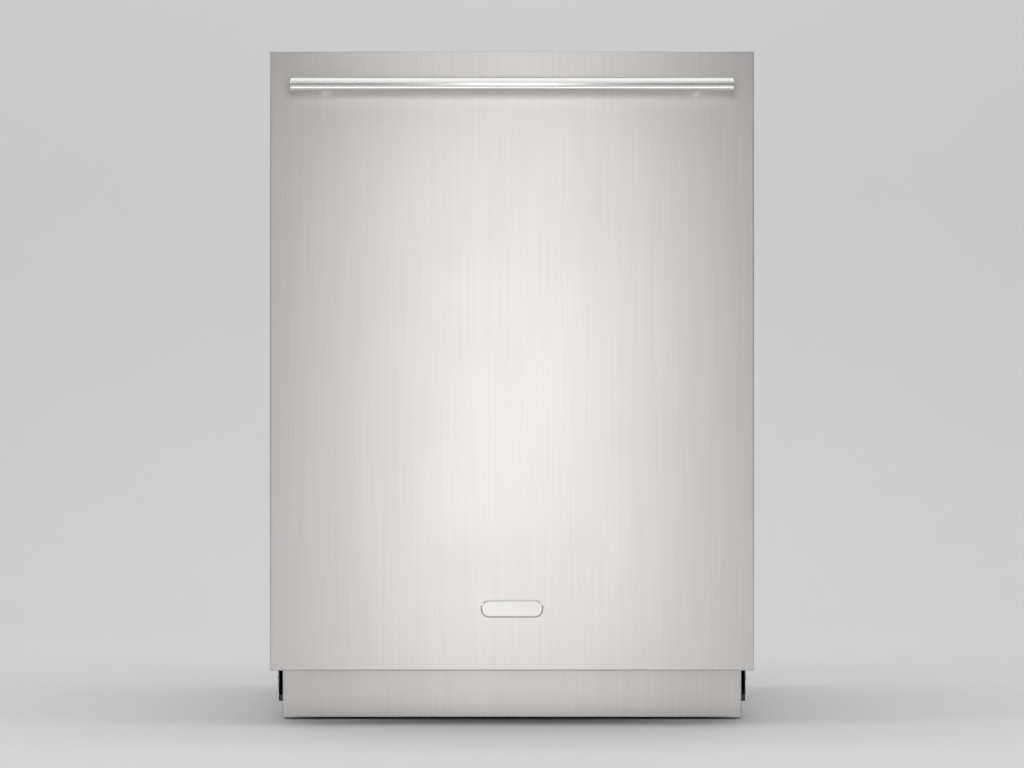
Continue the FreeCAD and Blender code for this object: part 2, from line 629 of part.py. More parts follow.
def tub():
    """Folded stainless tub with a front frame, turned back along its top edge."""
    def is_long(edge):
        return runs_along(edge, "y")
    outer = block("tub_block", "-tub_half - tub_sheet", "frame_front", "tub_floor - tub_sheet",
                  "2 * (tub_half + tub_sheet)", "tub_inner_back + tub_sheet - frame_front",
                  "tub_ceiling - tub_floor + 2 * tub_sheet")
    inner = block("tub_hollow", "-tub_half", "frame_front - tub_sheet", "tub_floor", "2 * tub_half",
                  "tub_inner_back - frame_front + tub_sheet", "tub_ceiling - tub_floor")
    plate = block("frame_plate", "-cabinet_half", "frame_front", "frame_low",
                  "2 * cabinet_half", "tub_sheet", "cabinet_top - frame_low")
    lip = block("frame_lip", "-cabinet_half", "frame_front", "cabinet_top - tub_sheet",
                "2 * cabinet_half", "frame_return", "tub_sheet")
    drain = rod("sump_hole", "z", "filter_x", "filter_mid_y", "tub_floor - 2 * tub_sheet",
                "sump_dia / 2 - sump_wall", "4 * tub_sheet")
    stem = rod("float_hole", "z", "float_x", "frame_front + float_y", "tub_floor - 2 * tub_sheet",
               "float_stem / 2 + run_gap", "4 * tub_sheet")
    skin = join("tub_skin", rounded("tub_outer", outer, "tub_corner + tub_sheet", is_long), plate, lip)
    node(cut("tub_shell", skin, rounded("tub_inner", inner, "tub_corner", is_long), drain, stem), "tub")


def gasket():
    outer = block("gasket_block", "-tub_half - gasket_set - gasket_wide", "door_back + fit_gap",
                  "hinge_height + gasket_lift",
                  "2 * (tub_half + gasket_set + gasket_wide)", "door_gap - fit_gap",
                  "tub_ceiling + gasket_set + gasket_wide - hinge_height - gasket_lift")
    mouth = block("gasket_mouth", "-tub_half - gasket_set", "door_back", "frame_low",
                  "2 * (tub_half + gasket_set)", "2 * door_gap", "tub_ceiling + gasket_set - frame_low")
    node(cut("gasket", outer, mouth), "tub_gasket")


def casing():
    tall = "cabinet_top - plate_floor"
    whole = block("side_sheet", "cabinet_half", "frame_front", "plate_floor",
                  "case_sheet", "cabinet_depth", tall)
    toe = block("side_toe", "cabinet_half - case_sheet", "frame_front - case_sheet",
                "plate_floor - case_sheet", "3 * case_sheet", "base_front - frame_front + case_sheet",
                "frame_low - plate_floor + case_sheet")
    right = cut("side_right", whole, toe)
    node(right, "right_side_panel")
    node(mirrored("side_left", right), "left_side_panel")
    back = block("back_sheet", "-cabinet_half", "rear - case_sheet", "base_top",
                 "2 * cabinet_half", "case_sheet", "cabinet_top - base_top")
    node(back, "rear_panel")
    reach = "tub_half + tub_sheet + fit_gap"
    start = "frame_front + frame_return + fit_gap"
    end = "tub_inner_back + tub_sheet + fit_gap"
    roof = "tub_ceiling + tub_sheet + fit_gap"
    wool = block("wool_block", f"-({reach} + blanket_thick)", start, "tub_floor",
                 f"2 * ({reach} + blanket_thick)", f"{end} + blanket_thick - ({start})",
                 f"{roof} + blanket_thick - tub_floor")
    room = block("wool_room", f"-({reach})", f"{start} - blanket_thick", "tub_floor - blanket_thick",
                 f"2 * ({reach})", f"{end} - ({start}) + blanket_thick",
                 f"{roof} - tub_floor + blanket_thick")
    node(cut("wool", wool, room), "sound_blanket")


def top_brackets():
    """Tabs that screw up into the counter above."""
    tab = block("tab", "bracket_x - bracket_long / 2", "frame_front - bracket_ahead", "cabinet_top",
                "bracket_long", "bracket_deep", "bracket_thick")
    holes = [rod(f"tab_hole_{side}", "z", f"bracket_x {sign} bracket_pitch / 2",
                 "frame_front - bracket_ahead / 2", "cabinet_top - bracket_thick",
                 "bracket_hole / 2", "3 * bracket_thick")
             for side, sign in (("inner", "-"), ("outer", "+"))]
    right = cut("tab_right", tab, *holes)
    node(group("tabs", right, mirrored("tab_left", right)), "countertop_brackets")


FEET = {"front_left": ("-", "base_front + foot_inset_y"), "front_right": ("", "base_front + foot_inset_y"),
        "rear_left": ("-", "rear - foot_inset_y"), "rear_right": ("", "rear - foot_inset_y")}


def base():
    """Moulded base tray with ribs under the tub, bosses for the feet and a service window in its back."""
    floor = block("base_plate", "-cabinet_half", "base_front", "base_bottom",
                  "2 * cabinet_half", "rear - base_front", "base_floor")
    tall = "base_top - plate_floor"
    walls = block("base_walls", "-base_half", "base_front", "plate_floor",
                  "2 * base_half", "rear - base_front", tall)
    room = block("base_room", "-base_half + base_wall", "base_front + base_wall", "plate_floor",
                 "2 * (base_half - base_wall)", "rear - base_front - 2 * base_wall", f"{tall} + base_wall")
    window = block("base_window", "-window_left", "rear - 2 * base_wall", "plate_floor + window_low",
                   "window_left + window_right", "3 * base_wall", f"{tall} - window_low - window_high")
    pieces = [floor, cut("base_tray", walls, room, window)]
    for side, sign in (("left", "-"), ("right", "")):
        pieces.append(block(f"rib_{side}", f"{sign}rib_x - base_wall / 2", "base_front", "plate_floor",
                            "base_wall", "rear - base_front", tall))
    bores = []
    for name, (sign, y) in FEET.items():
        x = f"{sign}(base_half - foot_inset_x)"
        pieces.append(rod(f"{name}_boss", "z", x, y, "plate_floor", "boss_dia / 2", "boss_rise"))
        bores.append(rod(f"{name}_bore", "z", x, y, "base_bottom - base_floor",
                         "foot_stem / 2 + run_gap", "base_top"))
        foot = turned(f"{name}_turned", [("0", "0"), ("foot_dia / 2", "0"), ("foot_dia / 2", "foot_pad / 2"),
                                         ("foot_stem", "foot_pad"), ("foot_stem / 2", "foot_pad"),
                                         ("foot_stem / 2", "foot_rise"), ("0", "foot_rise")])
        node(place(foot, x, y), f"{name}_foot")
    node(cut("base", join("base_body", *pieces), *bores), "base_frame")


def kick():
    """Folded kick plate: face, ends turned back, a lip along the floor and two screw tabs under the base."""
    outer = block("kick_block", "-kick_half", "panel_face + kick_setback", "kick_gap",
                  "2 * kick_half", "kick_return", "kick_height")
    face = number("panel_face + kick_setback")
    folded = rounded("kick_folded", outer, "edge_round",
                     lambda e: runs_along(e, "z") and abs(e.Vertexes[0].Y - face) < 0.01)
    room = block("kick_room", "-kick_half + kick_sheet", "panel_face + kick_setback + kick_sheet",
                 "kick_gap + kick_sheet", "2 * (kick_half - kick_sheet)", "kick_return", "kick_height")
    pieces = [cut("kick_sheet_metal", folded, room)]
    for side, sign in (("left", "-"), ("right", "")):
        pieces.append(block(f"kick_tab_{side}", f"{sign}rib_x - kick_tab / 2",
                            "panel_face + kick_setback + kick_sheet", "base_bottom - kick_sheet",
                            "kick_tab", "kick_return - kick_sheet + kick_tab_lap", "kick_sheet"))
    node(join("kick", *pieces), "kick_plate")


def striker():
    foot = block("striker_foot_plate", "-striker_foot / 2", "frame_front - striker_plate",
                 "striker_z - striker_foot_tall / 2", "striker_foot", "striker_plate", "striker_foot_tall")
    tongue = block("striker_tongue", "-striker_width / 2", "frame_front - striker_reach",
                   "striker_z - striker_thick / 2",
                   "striker_width", "striker_reach - striker_plate", "striker_thick")
    node(join("striker_piece", foot, tongue), "door_striker")


# Water

def sump():
    """Moulded cup under the tub with a flange, and a port to each pump."""
    cup = rod("sump_cup", "z", "filter_x", "filter_mid_y", "sump_bottom", "sump_dia / 2", "sump_deep")
    flange = rod("sump_ring", "z", "filter_x", "filter_mid_y", "base_top - sump_wall",
                 "sump_dia / 2 + sump_flange", "sump_wall")
    reach = "sump_dia / 2 + port_reach"
    low = "pump_z - port_tall / 2"
    side = block("side_port", f"filter_x - ({reach})", "filter_mid_y - port_wide / 2", low,
                 reach, "port_wide", "port_tall")
    rear_port = block("rear_port", "filter_x - port_wide / 2", "filter_mid_y", low,
                      "port_wide", reach, "port_tall")
    hollow = rod("sump_hollow", "z", "filter_x", "filter_mid_y", "sump_bottom + sump_wall",
                 "sump_dia / 2 - sump_wall", "sump_deep")
    bore = "port_tall / 2 - sump_wall"
    side_bore = rod("side_port_bore", "x", f"filter_x - ({reach})", "filter_mid_y", "pump_z", bore, reach)
    rear_bore = rod("rear_port_bore", "y", "filter_x", "filter_mid_y", "pump_z", bore, reach)
    walls = join("sump_body", cup, flange, side, rear_port)
    node(cut("sump_moulding", walls, hollow, side_bore, rear_bore), "sump")


def pumps():
    """Both pumps lie on saddles on the base plate, with their faces against the sump's ports."""
    reach = "sump_dia / 2 + port_reach"
    start = f"filter_x - ({reach}) - pump_long"
    motor = rod("pump_case", "x", start, "filter_mid_y", "pump_z", "pump_dia / 2", "pump_long")
    saddle = block("pump_saddle", f"{start} + pump_long / 4", "filter_mid_y - saddle_wide / 2",
                   "plate_floor", "pump_long / 2", "saddle_wide", "pump_z - plate_floor")
    node(join("pump", motor, saddle), "circulation_pump")
    begin = f"filter_mid_y + {reach}"
    drain = rod("drain_case", "y", "filter_x", begin, "pump_z", "drain_dia / 2", "drain_long")
    seat = block("drain_saddle", "filter_x - saddle_wide / 2", f"{begin} + drain_long / 4", "plate_floor",
                 "saddle_wide", "drain_long / 2", "pump_z - plate_floor")
    spigot = rod("drain_spigot", "y", "filter_x", f"{begin} + drain_long", "pump_z",
                 "spigot_dia / 2", "spigot_long")
    bore = rod("spigot_bore", "y", "filter_x", f"{begin} + drain_long", "pump_z",
               "spigot_dia / 2 - spigot_wall", "spigot_long")
    node(cut("drain", join("drain_body", drain, seat, spigot), bore), "drain_pump")


def services():
    """Water inlet and cable entry, reached through the base's service window."""
    valve = block("valve_block", "valve_x - valve_side / 2", "valve_front", "plate_floor",
                  "valve_side", "valve_side", "valve_tall")
    thread_y = "valve_front + valve_side"
    thread_z = "plate_floor + thread_rise"
    thread = rod("inlet_thread", "y", "valve_x", thread_y, thread_z, "thread_dia / 2", "thread_long")
    throat = rod("inlet_throat", "y", "valve_x", thread_y, thread_z,
                 "thread_dia / 2 - sump_wall", "thread_long")
    node(cut("valve", join("valve_body", valve, thread), throat), "inlet_valve")
    box = block("box_block", "terminal_x - box_wide / 2", "box_front", "plate_floor",
                "box_wide", "box_deep", "box_tall")
    gland_z = "plate_floor + box_tall / 2"
    collar = rod("gland_collar", "y", "terminal_x", "box_front + box_deep", gland_z,
                 "gland_dia / 2", "gland_long")
    bore = rod("gland_bore", "y", "terminal_x", "box_front + box_deep - gland_long", gland_z,
               "gland_dia / 2 - gland_wall", "3 * gland_long")
    node(cut("terminals", join("terminal_body", box, collar), bore), "terminal_box")


def filters():
    plate = rod("plate_disc", "z", "filter_x", "filter_mid_y", "tub_floor", "plate_dia / 2", "plate_thick")
    hole = rod("plate_hole", "z", "filter_x", "filter_mid_y", "tub_floor - plate_thick",
               "filter_dia / 2 + fit_gap", "3 * plate_thick")
    node(cut("plate_ring", plate, hole), "filter_plate")
    rim_low = "tub_floor + plate_thick"
    low = f"{rim_low} + filter_rim_thick - filter_tall"
    wall = rod("filter_wall_tube", "z", "filter_x", "filter_mid_y", low, "filter_dia / 2", "filter_tall")
    rim = rod("filter_rim_ring", "z", "filter_x", "filter_mid_y", rim_low,
              "filter_dia / 2 + filter_rim", "filter_rim_thick")
    hollow = rod("filter_hollow", "z", "filter_x", "filter_mid_y", f"{low} + filter_wall",
                 "filter_dia / 2 - filter_wall", "filter_tall")
    cup = cut("filter_cup", join("filter_body", wall, rim), hollow)
    grip = block("filter_grip_bar", "filter_x - filter_dia / 2",
                 "filter_mid_y - filter_rim_thick / 2", rim_low,
                 "filter_dia", "filter_rim_thick", "filter_rim_thick + filter_grip")
    node(join("filter", cup, grip), "filter_basket")


def float_switch():
    y = "frame_front + float_y"
    bell = rod("float_bell", "z", "float_x", y, "tub_floor + fit_gap", "float_dia / 2", "float_tall")
    domed = rounded("float_dome", bell, "float_dia / 6",
                    lambda e: e.BoundBox.ZMin > number("tub_floor + float_tall / 2"))
    stem = rod("float_rod", "z", "float_x", y, "tub_floor - float_drop",
               "float_stem / 2", "float_drop + float_tall / 2")
    node(join("float", domed, stem), "float_cup")


def duct():
    """Flat duct over the tub's floor, up its back and along its ceiling, with a spindle at each end."""
    front = "tub_mid_y - duct_wide / 2"
    floor = block("duct_floor", "-duct_wide / 2", front, "tub_floor",
                  "duct_wide", f"tub_inner_back - ({front})", "floor_duct")
    riser = block("duct_riser", "-duct_wide / 2", "tub_inner_back - duct_deep", "tub_floor",
                  "duct_wide", "duct_deep", "tub_ceiling - tub_floor")
    roof = block("duct_roof", "-duct_wide / 2", front, "tub_ceiling - ceiling_duct",
                 "duct_wide", f"tub_inner_back - ({front})", "ceiling_duct")
    stand = rod("lower_spindle", "z", "0", "tub_mid_y", "tub_floor", "spindle_dia / 2",
                "floor_duct + 2 * hub_gap + hub_tall + spindle_cap")
    stand_cap = rod("lower_cap", "z", "0", "tub_mid_y", "lower_arm_z + hub_tall / 2 + hub_gap",
                    "spindle_cap_dia / 2", "spindle_cap")
    hang = rod("top_spindle", "z", "0", "tub_mid_y", "top_arm_z - hub_tall / 2 - hub_gap - spindle_cap",
               "spindle_dia / 2", "spindle_cap + 2 * hub_gap + hub_tall + ceiling_duct")
    hang_cap = rod("top_cap", "z", "0", "tub_mid_y", "top_arm_z - hub_tall / 2 - hub_gap - spindle_cap",
                   "spindle_cap_dia / 2", "spindle_cap")
    node(join("duct_body", floor, riser, roof, stand, stand_cap, hang, hang_cap), "wash_duct")


def spray_arm(label, long, z, jet_low):
    """A flat arm that narrows to its tips, on a bored hub, with a row of jets out each way."""
    blade = padded(f"{label}_blade", "XY_Plane",
                   [(f"-{long} / 2", "-arm_tip / 2"), ("0", "-arm_wide / 2"),
                    (f"{long} / 2", "-arm_tip / 2"), (f"{long} / 2", "arm_tip / 2"),
                    ("0", "arm_wide / 2"), (f"-{long} / 2", "arm_tip / 2")],
                   "arm_thick")
    place(blade, "0", "tub_mid_y", z)
    hub = rod(f"{label}_hub", "z", "0", "tub_mid_y", f"{z} - hub_tall / 2", "hub_dia / 2", "hub_tall")
    holes = [rod(f"{label}_bore", "z", "0", "tub_mid_y", f"{z} - hub_tall",
                 "spindle_dia / 2 + run_gap", "2 * hub_tall")]
    count = int((number(f"{long} / 2 - arm_tip / 2") - number("hub_dia / 2")) / number("jet_pitch"))
    for i in range(1, count + 1):
        for sign in ("", "-"):
            holes.append(rod(f"{label}_jet", "z", f"{sign}(hub_dia / 2 + {i} * jet_pitch)", "tub_mid_y",
                             f"{z} + {jet_low}", "jet_dia / 2", "2 * jet_deep"))
    node(cut(f"{label}_body", join(f"{label}_whole", blade, hub), *holes), label)


def spray_arms():
    up = "arm_thick / 2 - jet_deep"
    spray_arm("lower_spray_arm", "arm_long", "lower_arm_z", up)
    spray_arm("middle_spray_arm", "arm_long", "middle_arm_z", up)
    spray_arm("top_spray_arm", "top_arm_long", "top_arm_z", "(-arm_thick / 2 - jet_deep)")
    pipe_end = "tub_inner_back - duct_deep - hub_gap"
    pipe = block("feed_run", "-feed_wide / 2", "tub_mid_y - feed_wide / 2", "upper_floor - feed_tall",
                 "feed_wide", f"{pipe_end} - tub_mid_y + feed_wide / 2", "feed_tall")
    low = "middle_arm_z - hub_tall / 2 - hub_gap - spindle_cap"
    spindle = rod("feed_spindle", "z", "0", "tub_mid_y", low, "spindle_dia / 2", f"upper_floor - ({low})")
    cap = rod("feed_cap", "z", "0", "tub_mid_y", low, "spindle_cap_dia / 2", "spindle_cap")
    node(join("feed_pipe", pipe, spindle, cap), "middle_feed_pipe")


# Racks

BAY_X = "((2 * rack_half - wire) / bays_across)"
BAY_Y = "((rack_deep - wire) / bays_along)"


def wire_basket(name, floor, tall, levels):
    """Square wires both ways across the floor, up all four walls and round them at each level."""
    bars = []
    for i in range(int(number("bays_across")) + 1):
        x = f"-rack_half + {i} * {BAY_X}"
        bars.append(block(f"{name}_long", x, "rack_front", floor, "wire", "rack_deep", "wire"))
        for y in ("rack_front", "rack_back - wire"):
            bars.append(block(f"{name}_end_post", x, y, floor, "wire", "wire", tall))
    for i in range(int(number("bays_along")) + 1):
        y = f"rack_front + {i} * {BAY_Y}"
        bars.append(block(f"{name}_cross", "-rack_half", y, floor, "2 * rack_half", "wire", "wire"))
        for x in ("-rack_half", "rack_half - wire"):
            bars.append(block(f"{name}_side_post", x, y, floor, "wire", "wire", tall))
    for i in range(1, int(number(levels)) + 1):
        z = f"{floor} + {i} * ({tall} - wire) / {levels}"
        for y in ("rack_front", "rack_back - wire"):
            bars.append(block(f"{name}_end_rail", "-rack_half", y, z, "2 * rack_half", "wire", "wire"))
        for x in ("-rack_half", "rack_half - wire"):
            bars.append(block(f"{name}_side_rail", x, "rack_front", z, "wire", "rack_deep", "wire"))
    return bars


def tine_strips(label, floor, tall, bays):
    """Rows of tines, each row on a bar that lies across the rack's floor wires."""
    strips = []
    for bay in bays:
        x = f"-rack_half + {bay} * {BAY_X} + {BAY_X} / 2"
        pieces = [block(f"{label}_bar", x, f"rack_front + {BAY_Y}", f"{floor} + wire",
                        "wire", f"rack_deep - 2 * {BAY_Y}", "wire")]
        for i in range(1, int(number("bays_along"))):
            pieces.append(block(f"{label}_post", x, f"rack_front + {i} * {BAY_Y}", f"{floor} + wire",
                                "wire", "wire", tall))
        strips.append(join(f"{label}_strip", *pieces))
    node(group(f"{label}_rows", *strips), label)


def lower_rack():
    bars = wire_basket("lower_wire", "lower_floor", "lower_tall", "lower_levels")
    axles = {"front": "rack_front + wheel_front", "rear": "rack_back - wheel_rear"}
    for name, y in axles.items():
        hanger = block(f"{name}_hanger", "rack_half - wire", f"{y} - hanger_wide / 2", "wheel_z - axle_dia",
                       "wire", "hanger_wide", "lower_floor + wire - wheel_z + axle_dia")
        shoulder = rod(f"{name}_shoulder", "x", "rack_half - wire", y, "wheel_z",
                       "axle_dia", "wire + axle_flange")
        axle = rod(f"{name}_axle", "x", "rack_half", y, "wheel_z", "axle_dia / 2",
                   "axle_flange + wheel_wide + axle_end")
        stop = rod(f"{name}_stop", "x", "rack_half + axle_flange + wheel_wide", y, "wheel_z",
                   "axle_dia / 2 + axle_end", "axle_end")
        right = join(f"{name}_axle_right", hanger, shoulder, axle, stop)
        bars += [right, mirrored(f"{name}_axle_left", right)]
        wheel = rod(f"{name}_wheel_disc", "x", "rack_half + axle_flange + run_gap", y, "wheel_z",
                    "wheel_dia / 2", "wheel_wide - 2 * run_gap")
        bore = rod(f"{name}_wheel_bore", "x", "rack_half", y, "wheel_z",
                   "axle_dia / 2 + run_gap", "axle_flange + 2 * wheel_wide")
        tyre = cut(f"{name}_wheel_right", wheel, bore)
        node(group(f"{name}_wheels", tyre, mirrored(f"{name}_wheel_left", tyre)), f"lower_{name}_wheels")
    node(join("lower_basket", *bars), "lower_rack")
    tine_strips("lower_tines", "lower_floor", "tine_tall", (1, 3, 5, 7))


def cutlery_basket():
    """Moulded basket with two rows of cells and a handle over the wall between them."""
    low = "lower_floor + wire"
    front = "rack_front + basket_front"
    outer = block("basket_block", "basket_x - basket_wide / 2", front, low,
                  "basket_wide", "basket_long", "basket_tall")
    wide = "((basket_wide - 3 * basket_wall) / 2)"
    long = "((basket_long - basket_wall) / basket_cells - basket_wall)"
    cells = []
    for i in range(int(number("basket_cells"))):
        y = f"{front} + basket_wall + {i} * ({long} + basket_wall)"
        for x in (f"basket_x - basket_wall / 2 - {wide}", "basket_x + basket_wall / 2"):
            cells.append(block("basket_cell", x, y, f"{low} + basket_wall", wide, long, "basket_tall"))
    arch = block("basket_arch", "basket_x - basket_wall / 2", f"{front} + basket_long / 4", low,
                 "basket_wall", "basket_long / 2", "basket_tall + basket_grip")
    gap = block("basket_arch_gap", "basket_x - basket_wall", f"{front} + basket_long / 4 + basket_grip / 3",
                f"{low} + basket_tall", "2 * basket_wall", "basket_long / 2 - 2 * basket_grip / 3",
                "2 * basket_grip / 3")
    moulding = cut("basket_cells_cut", outer, *cells)
    node(join("basket", moulding, cut("basket_handle", arch, gap)), "cutlery_basket")


def runners(name, low, tall, label):
    """Grooved rails on the tub's walls, and slide bars in them that carry the rack on lugs."""
    rail = block(f"{name}_rail_block", "rail_half", "tub_mid_y - rail_long / 2", low,
                 "rail_thick", "rail_long", tall)
    groove = block(f"{name}_groove", "rail_half - groove_deep", "tub_mid_y - rail_long / 2",
                   f"{low} + {tall} / 4", "2 * groove_deep", "rail_long", f"{tall} / 2")
    fixed = cut(f"{name}_rail_right", rail, groove)
    node(group(f"{name}_rail_pair", fixed, mirrored(f"{name}_rail_left", fixed)), f"{name}_rails")
    bar_low = f"{low} + {tall} / 4 + slide_gap"
    bar_tall = f"{tall} / 2 - 2 * slide_gap"
    pieces = [block(f"{name}_bar", "slide_half - slide_thick", "rack_front", bar_low,
                    "slide_thick", "slide_long", bar_tall)]
    for bay in ("1", "(bays_along - 2)"):
        y = f"rack_front + {bay} * {BAY_Y} + wire / 2 - lug_long / 2"
        pieces.append(block(f"{name}_lug", "rack_half", y, bar_low,
                            "slide_half - slide_thick - rack_half", "lug_long", bar_tall))
    moving = join(f"{name}_slide_right", *pieces)
    node(group(f"{name}_slide_pair", moving, mirrored(f"{name}_slide_left", moving)), label)


def upper_racks():
    bars = wire_basket("upper_wire", "upper_floor", "upper_tall", "upper_levels")
    node(join("upper_basket", *bars), "upper_rack")
    tine_strips("upper_tines", "upper_floor", "cup_tine_tall", (1, 3, 8, 10))
    runners("upper", "upper_floor + upper_rail_rise", "rail_tall", "upper_slides")
    tray = wire_basket("tray_wire", "tray_floor", "tray_tall", "1")
    node(join("tray_basket", *tray), "cutlery_tray")
    runners("tray", "tray_floor + tray_rail_rise", "tray_rail_tall", "tray_slides")


def check():
    """Stops if any object failed to build or any piece is empty or broken."""
    doc.recompute()
    failed = [o.Label for o in doc.Objects if {"Invalid", "Error"} & set(o.State)]
    empty = [n.Label for n in NODES if n.Shape.isNull() or not n.Shape.isValid() or not n.Shape.Solids]
    if failed or empty:
        raise RuntimeError(f"failed: {failed}, empty or broken: {empty}")


for build in (front_panel, handle, badge, door_body, console, dispenser, hinges, tub, gasket, casing,
              top_brackets, base, kick, striker, sump, pumps, services, filters, float_switch, duct,
              spray_arms, lower_rack, cutlery_basket, upper_racks):
    build()
check()
os.makedirs("parts", exist_ok=True)
for piece in NODES:
    piece.Shape.exportStep(f"parts/{piece.Label}.step")
print(f"{len(NODES)} pieces")
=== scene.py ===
# %% [markdown]
# # A built-in dishwasher with a brushed steel door
# The machine arrives as a finished set of solids: tub, racks, door, pumps and feet, each in its real
# place. This lesson dresses them. Some solids only need soft edges and a good metal or plastic, and some,
# such as the wire racks and the bar handle, are made again as finer meshes in the same space.

# %% Load the solids
import bpy
import bmesh
import json
import math
from functools import partial
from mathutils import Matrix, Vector


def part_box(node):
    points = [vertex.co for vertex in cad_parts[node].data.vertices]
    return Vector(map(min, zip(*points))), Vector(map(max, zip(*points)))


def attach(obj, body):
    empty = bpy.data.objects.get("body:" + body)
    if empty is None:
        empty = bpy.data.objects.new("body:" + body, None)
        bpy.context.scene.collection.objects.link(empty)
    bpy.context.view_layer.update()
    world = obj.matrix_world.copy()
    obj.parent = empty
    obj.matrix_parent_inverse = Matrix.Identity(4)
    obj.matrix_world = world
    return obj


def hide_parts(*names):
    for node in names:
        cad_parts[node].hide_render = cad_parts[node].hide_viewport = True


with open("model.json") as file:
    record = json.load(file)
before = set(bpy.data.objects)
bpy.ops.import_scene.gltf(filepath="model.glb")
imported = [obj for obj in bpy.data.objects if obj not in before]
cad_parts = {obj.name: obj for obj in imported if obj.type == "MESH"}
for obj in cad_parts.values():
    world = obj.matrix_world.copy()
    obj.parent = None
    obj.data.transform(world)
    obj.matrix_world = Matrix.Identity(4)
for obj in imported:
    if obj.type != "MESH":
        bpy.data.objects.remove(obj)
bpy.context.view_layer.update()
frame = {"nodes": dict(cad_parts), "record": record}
record = frame["record"]
BODY_OF = {node: body for body, nodes in record["behaviour"]["bodies"].items() for node in nodes}
SLOT_OF = {entry["node"]: entry["material_slot"] for entry in record["subparts"]}
MM = 0.001

# %% [markdown]
# ## Small tools
# Node trees are easier to read when a node, its settings and its links are written in one call. The same
# helper serves shaders and Geometry Nodes: an input is a plain value, a socket, or a node whose first
# output is meant.

# %% Node helpers
FAMILIES = ("ShaderNode", "GeometryNode", "FunctionNode")


def feed(made, inputs):
    """Sets a node's inputs, or links them."""
    for key, value in inputs.items():
        source = value.outputs[0] if isinstance(value, bpy.types.Node) else value
        if isinstance(source, bpy.types.NodeSocket):
            made.id_data.links.new(source, made.inputs[key])
        else:
            made.inputs[key].default_value = source
    return made


def put(tree, kind, inputs=None, **settings):
    """A new node, from the family that has its kind."""
    family = next(family for family in FAMILIES if hasattr(bpy.types, family + kind))
    made = tree.nodes.new(family + kind)
    for key, value in settings.items():
        setattr(made, key, value)
    return feed(made, inputs or {})


def blank_material(name):
    """A new material, a way to add nodes to it, its shader and its object coordinates."""
    made = bpy.data.materials.new(name)
    made.use_nodes = True
    add = partial(put, made.node_tree)
    return made, add, made.node_tree.nodes["Principled BSDF"], add("TexCoord").outputs["Object"]


# %% Objects and meshes
def new_object(name, mesh):
    made = bpy.data.objects.new(name, mesh)
    bpy.context.scene.collection.objects.link(made)
    return made


def new_mesh(name, points, faces):
    mesh = bpy.data.meshes.new(name)
    mesh.from_pydata(points, [], faces)
    return mesh


# %% [markdown]
# ## The camera
# The photograph looks straight at the door from a few metres away with a long lens, at about the middle
# of the door's height, so the machine's sides hide behind its front and the kick plate shows slightly
# smaller.

# %% Camera
PANEL_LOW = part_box("door_panel")[0]
CAMERA_AWAY = 4.5
CAMERA_HEIGHT = 0.427
VIEW_WIDTH = 1.2758
SENSOR = 36.0
camera_data = bpy.data.cameras.new("Camera")
camera_data.sensor_width = SENSOR
camera_data.lens = SENSOR * CAMERA_AWAY / VIEW_WIDTH
camera = new_object("Camera", camera_data)
camera.location = (0, PANEL_LOW.y - CAMERA_AWAY, CAMERA_HEIGHT)
camera.rotation_euler = (math.radians(90), 0, 0)
bpy.context.scene.camera = camera
print("lens", round(camera_data.lens, 1), "mm")

# %% [markdown]
# ## Floor, backdrop and light
# Brushed steel shows what stands in front of it. A tall soft box between the camera and the door, which
# the camera doesn't see, gives the door its bright middle and lets its edges fall off to grey. It reaches
# below the floor, which neither stops its light nor takes any of it. A pale room all round fills the
# rest.

# %% Floor and backdrop
FLOOR_HALF = 14.0
WALL_AWAY = 2.2
WALL_TALL = 5.0
BEND = 0.8
BEND_STEPS = 8


def pale_paint():
    """Matt paint that shows from its front only, so the wall hides nothing from behind."""
    made, add, shader, _ = blank_material("pale_paint")
    feed(shader, {"Base Color": (0.82, 0.82, 0.82, 1), "Roughness": 0.9})
    side = add("NewGeometry").outputs["Backfacing"]
    mix = add("MixShader", {0: side, 1: shader, 2: add("BsdfTransparent")})
    feed(made.node_tree.nodes["Material Output"], {"Surface": mix})
    return made


def studio_sheet():
    """A floor that bends up into the wall behind the machine."""
    profile = [(-FLOOR_HALF, 0.0), (WALL_AWAY - BEND, 0.0)]
    for step in range(1, BEND_STEPS + 1):
        turn = math.radians(90) * step / BEND_STEPS
        profile.append((WALL_AWAY - BEND + BEND * math.sin(turn), BEND - BEND * math.cos(turn)))
    profile.append((WALL_AWAY, WALL_TALL))
    points = [(x, y, z) for y, z in profile for x in (-FLOOR_HALF, FLOOR_HALF)]
    faces = [(2 * i, 2 * i + 1, 2 * i + 3, 2 * i + 2) for i in range(len(profile) - 1)]
    mesh = new_mesh("studio_sheet", points, faces)
    mesh.materials.append(pale_paint())
    mesh.shade_smooth()
    return new_object("studio_sheet", mesh)


studio = studio_sheet()
print("studio sheet", len(studio.data.polygons), "faces")

# %% Lights
FRONT_HEIGHT = 0.51
ROOM_LIGHT = 0.205
LAMPS = {
    "front_box": ((0, -2.45, FRONT_HEIGHT), (0, PANEL_LOW.y, FRONT_HEIGHT), 0.50, 1.30, 4.5),
    "left_box": ((-3.4, -1.6, 2.2), (0, 0, 0.4), 1.6, 2.0, 30),
    "right_box": ((3.4, -1.2, 2.4), (0, 0, 0.4), 1.6, 2.0, 26),
    "top_box": ((0, -1.5, 2.7), (0, -1.5, 0), 2.8, 3.6, 31),
    "wall_box": ((0, 0.5, 3.6), (0, 2.2, 0.9), 4.0, 0.8, 40),
}


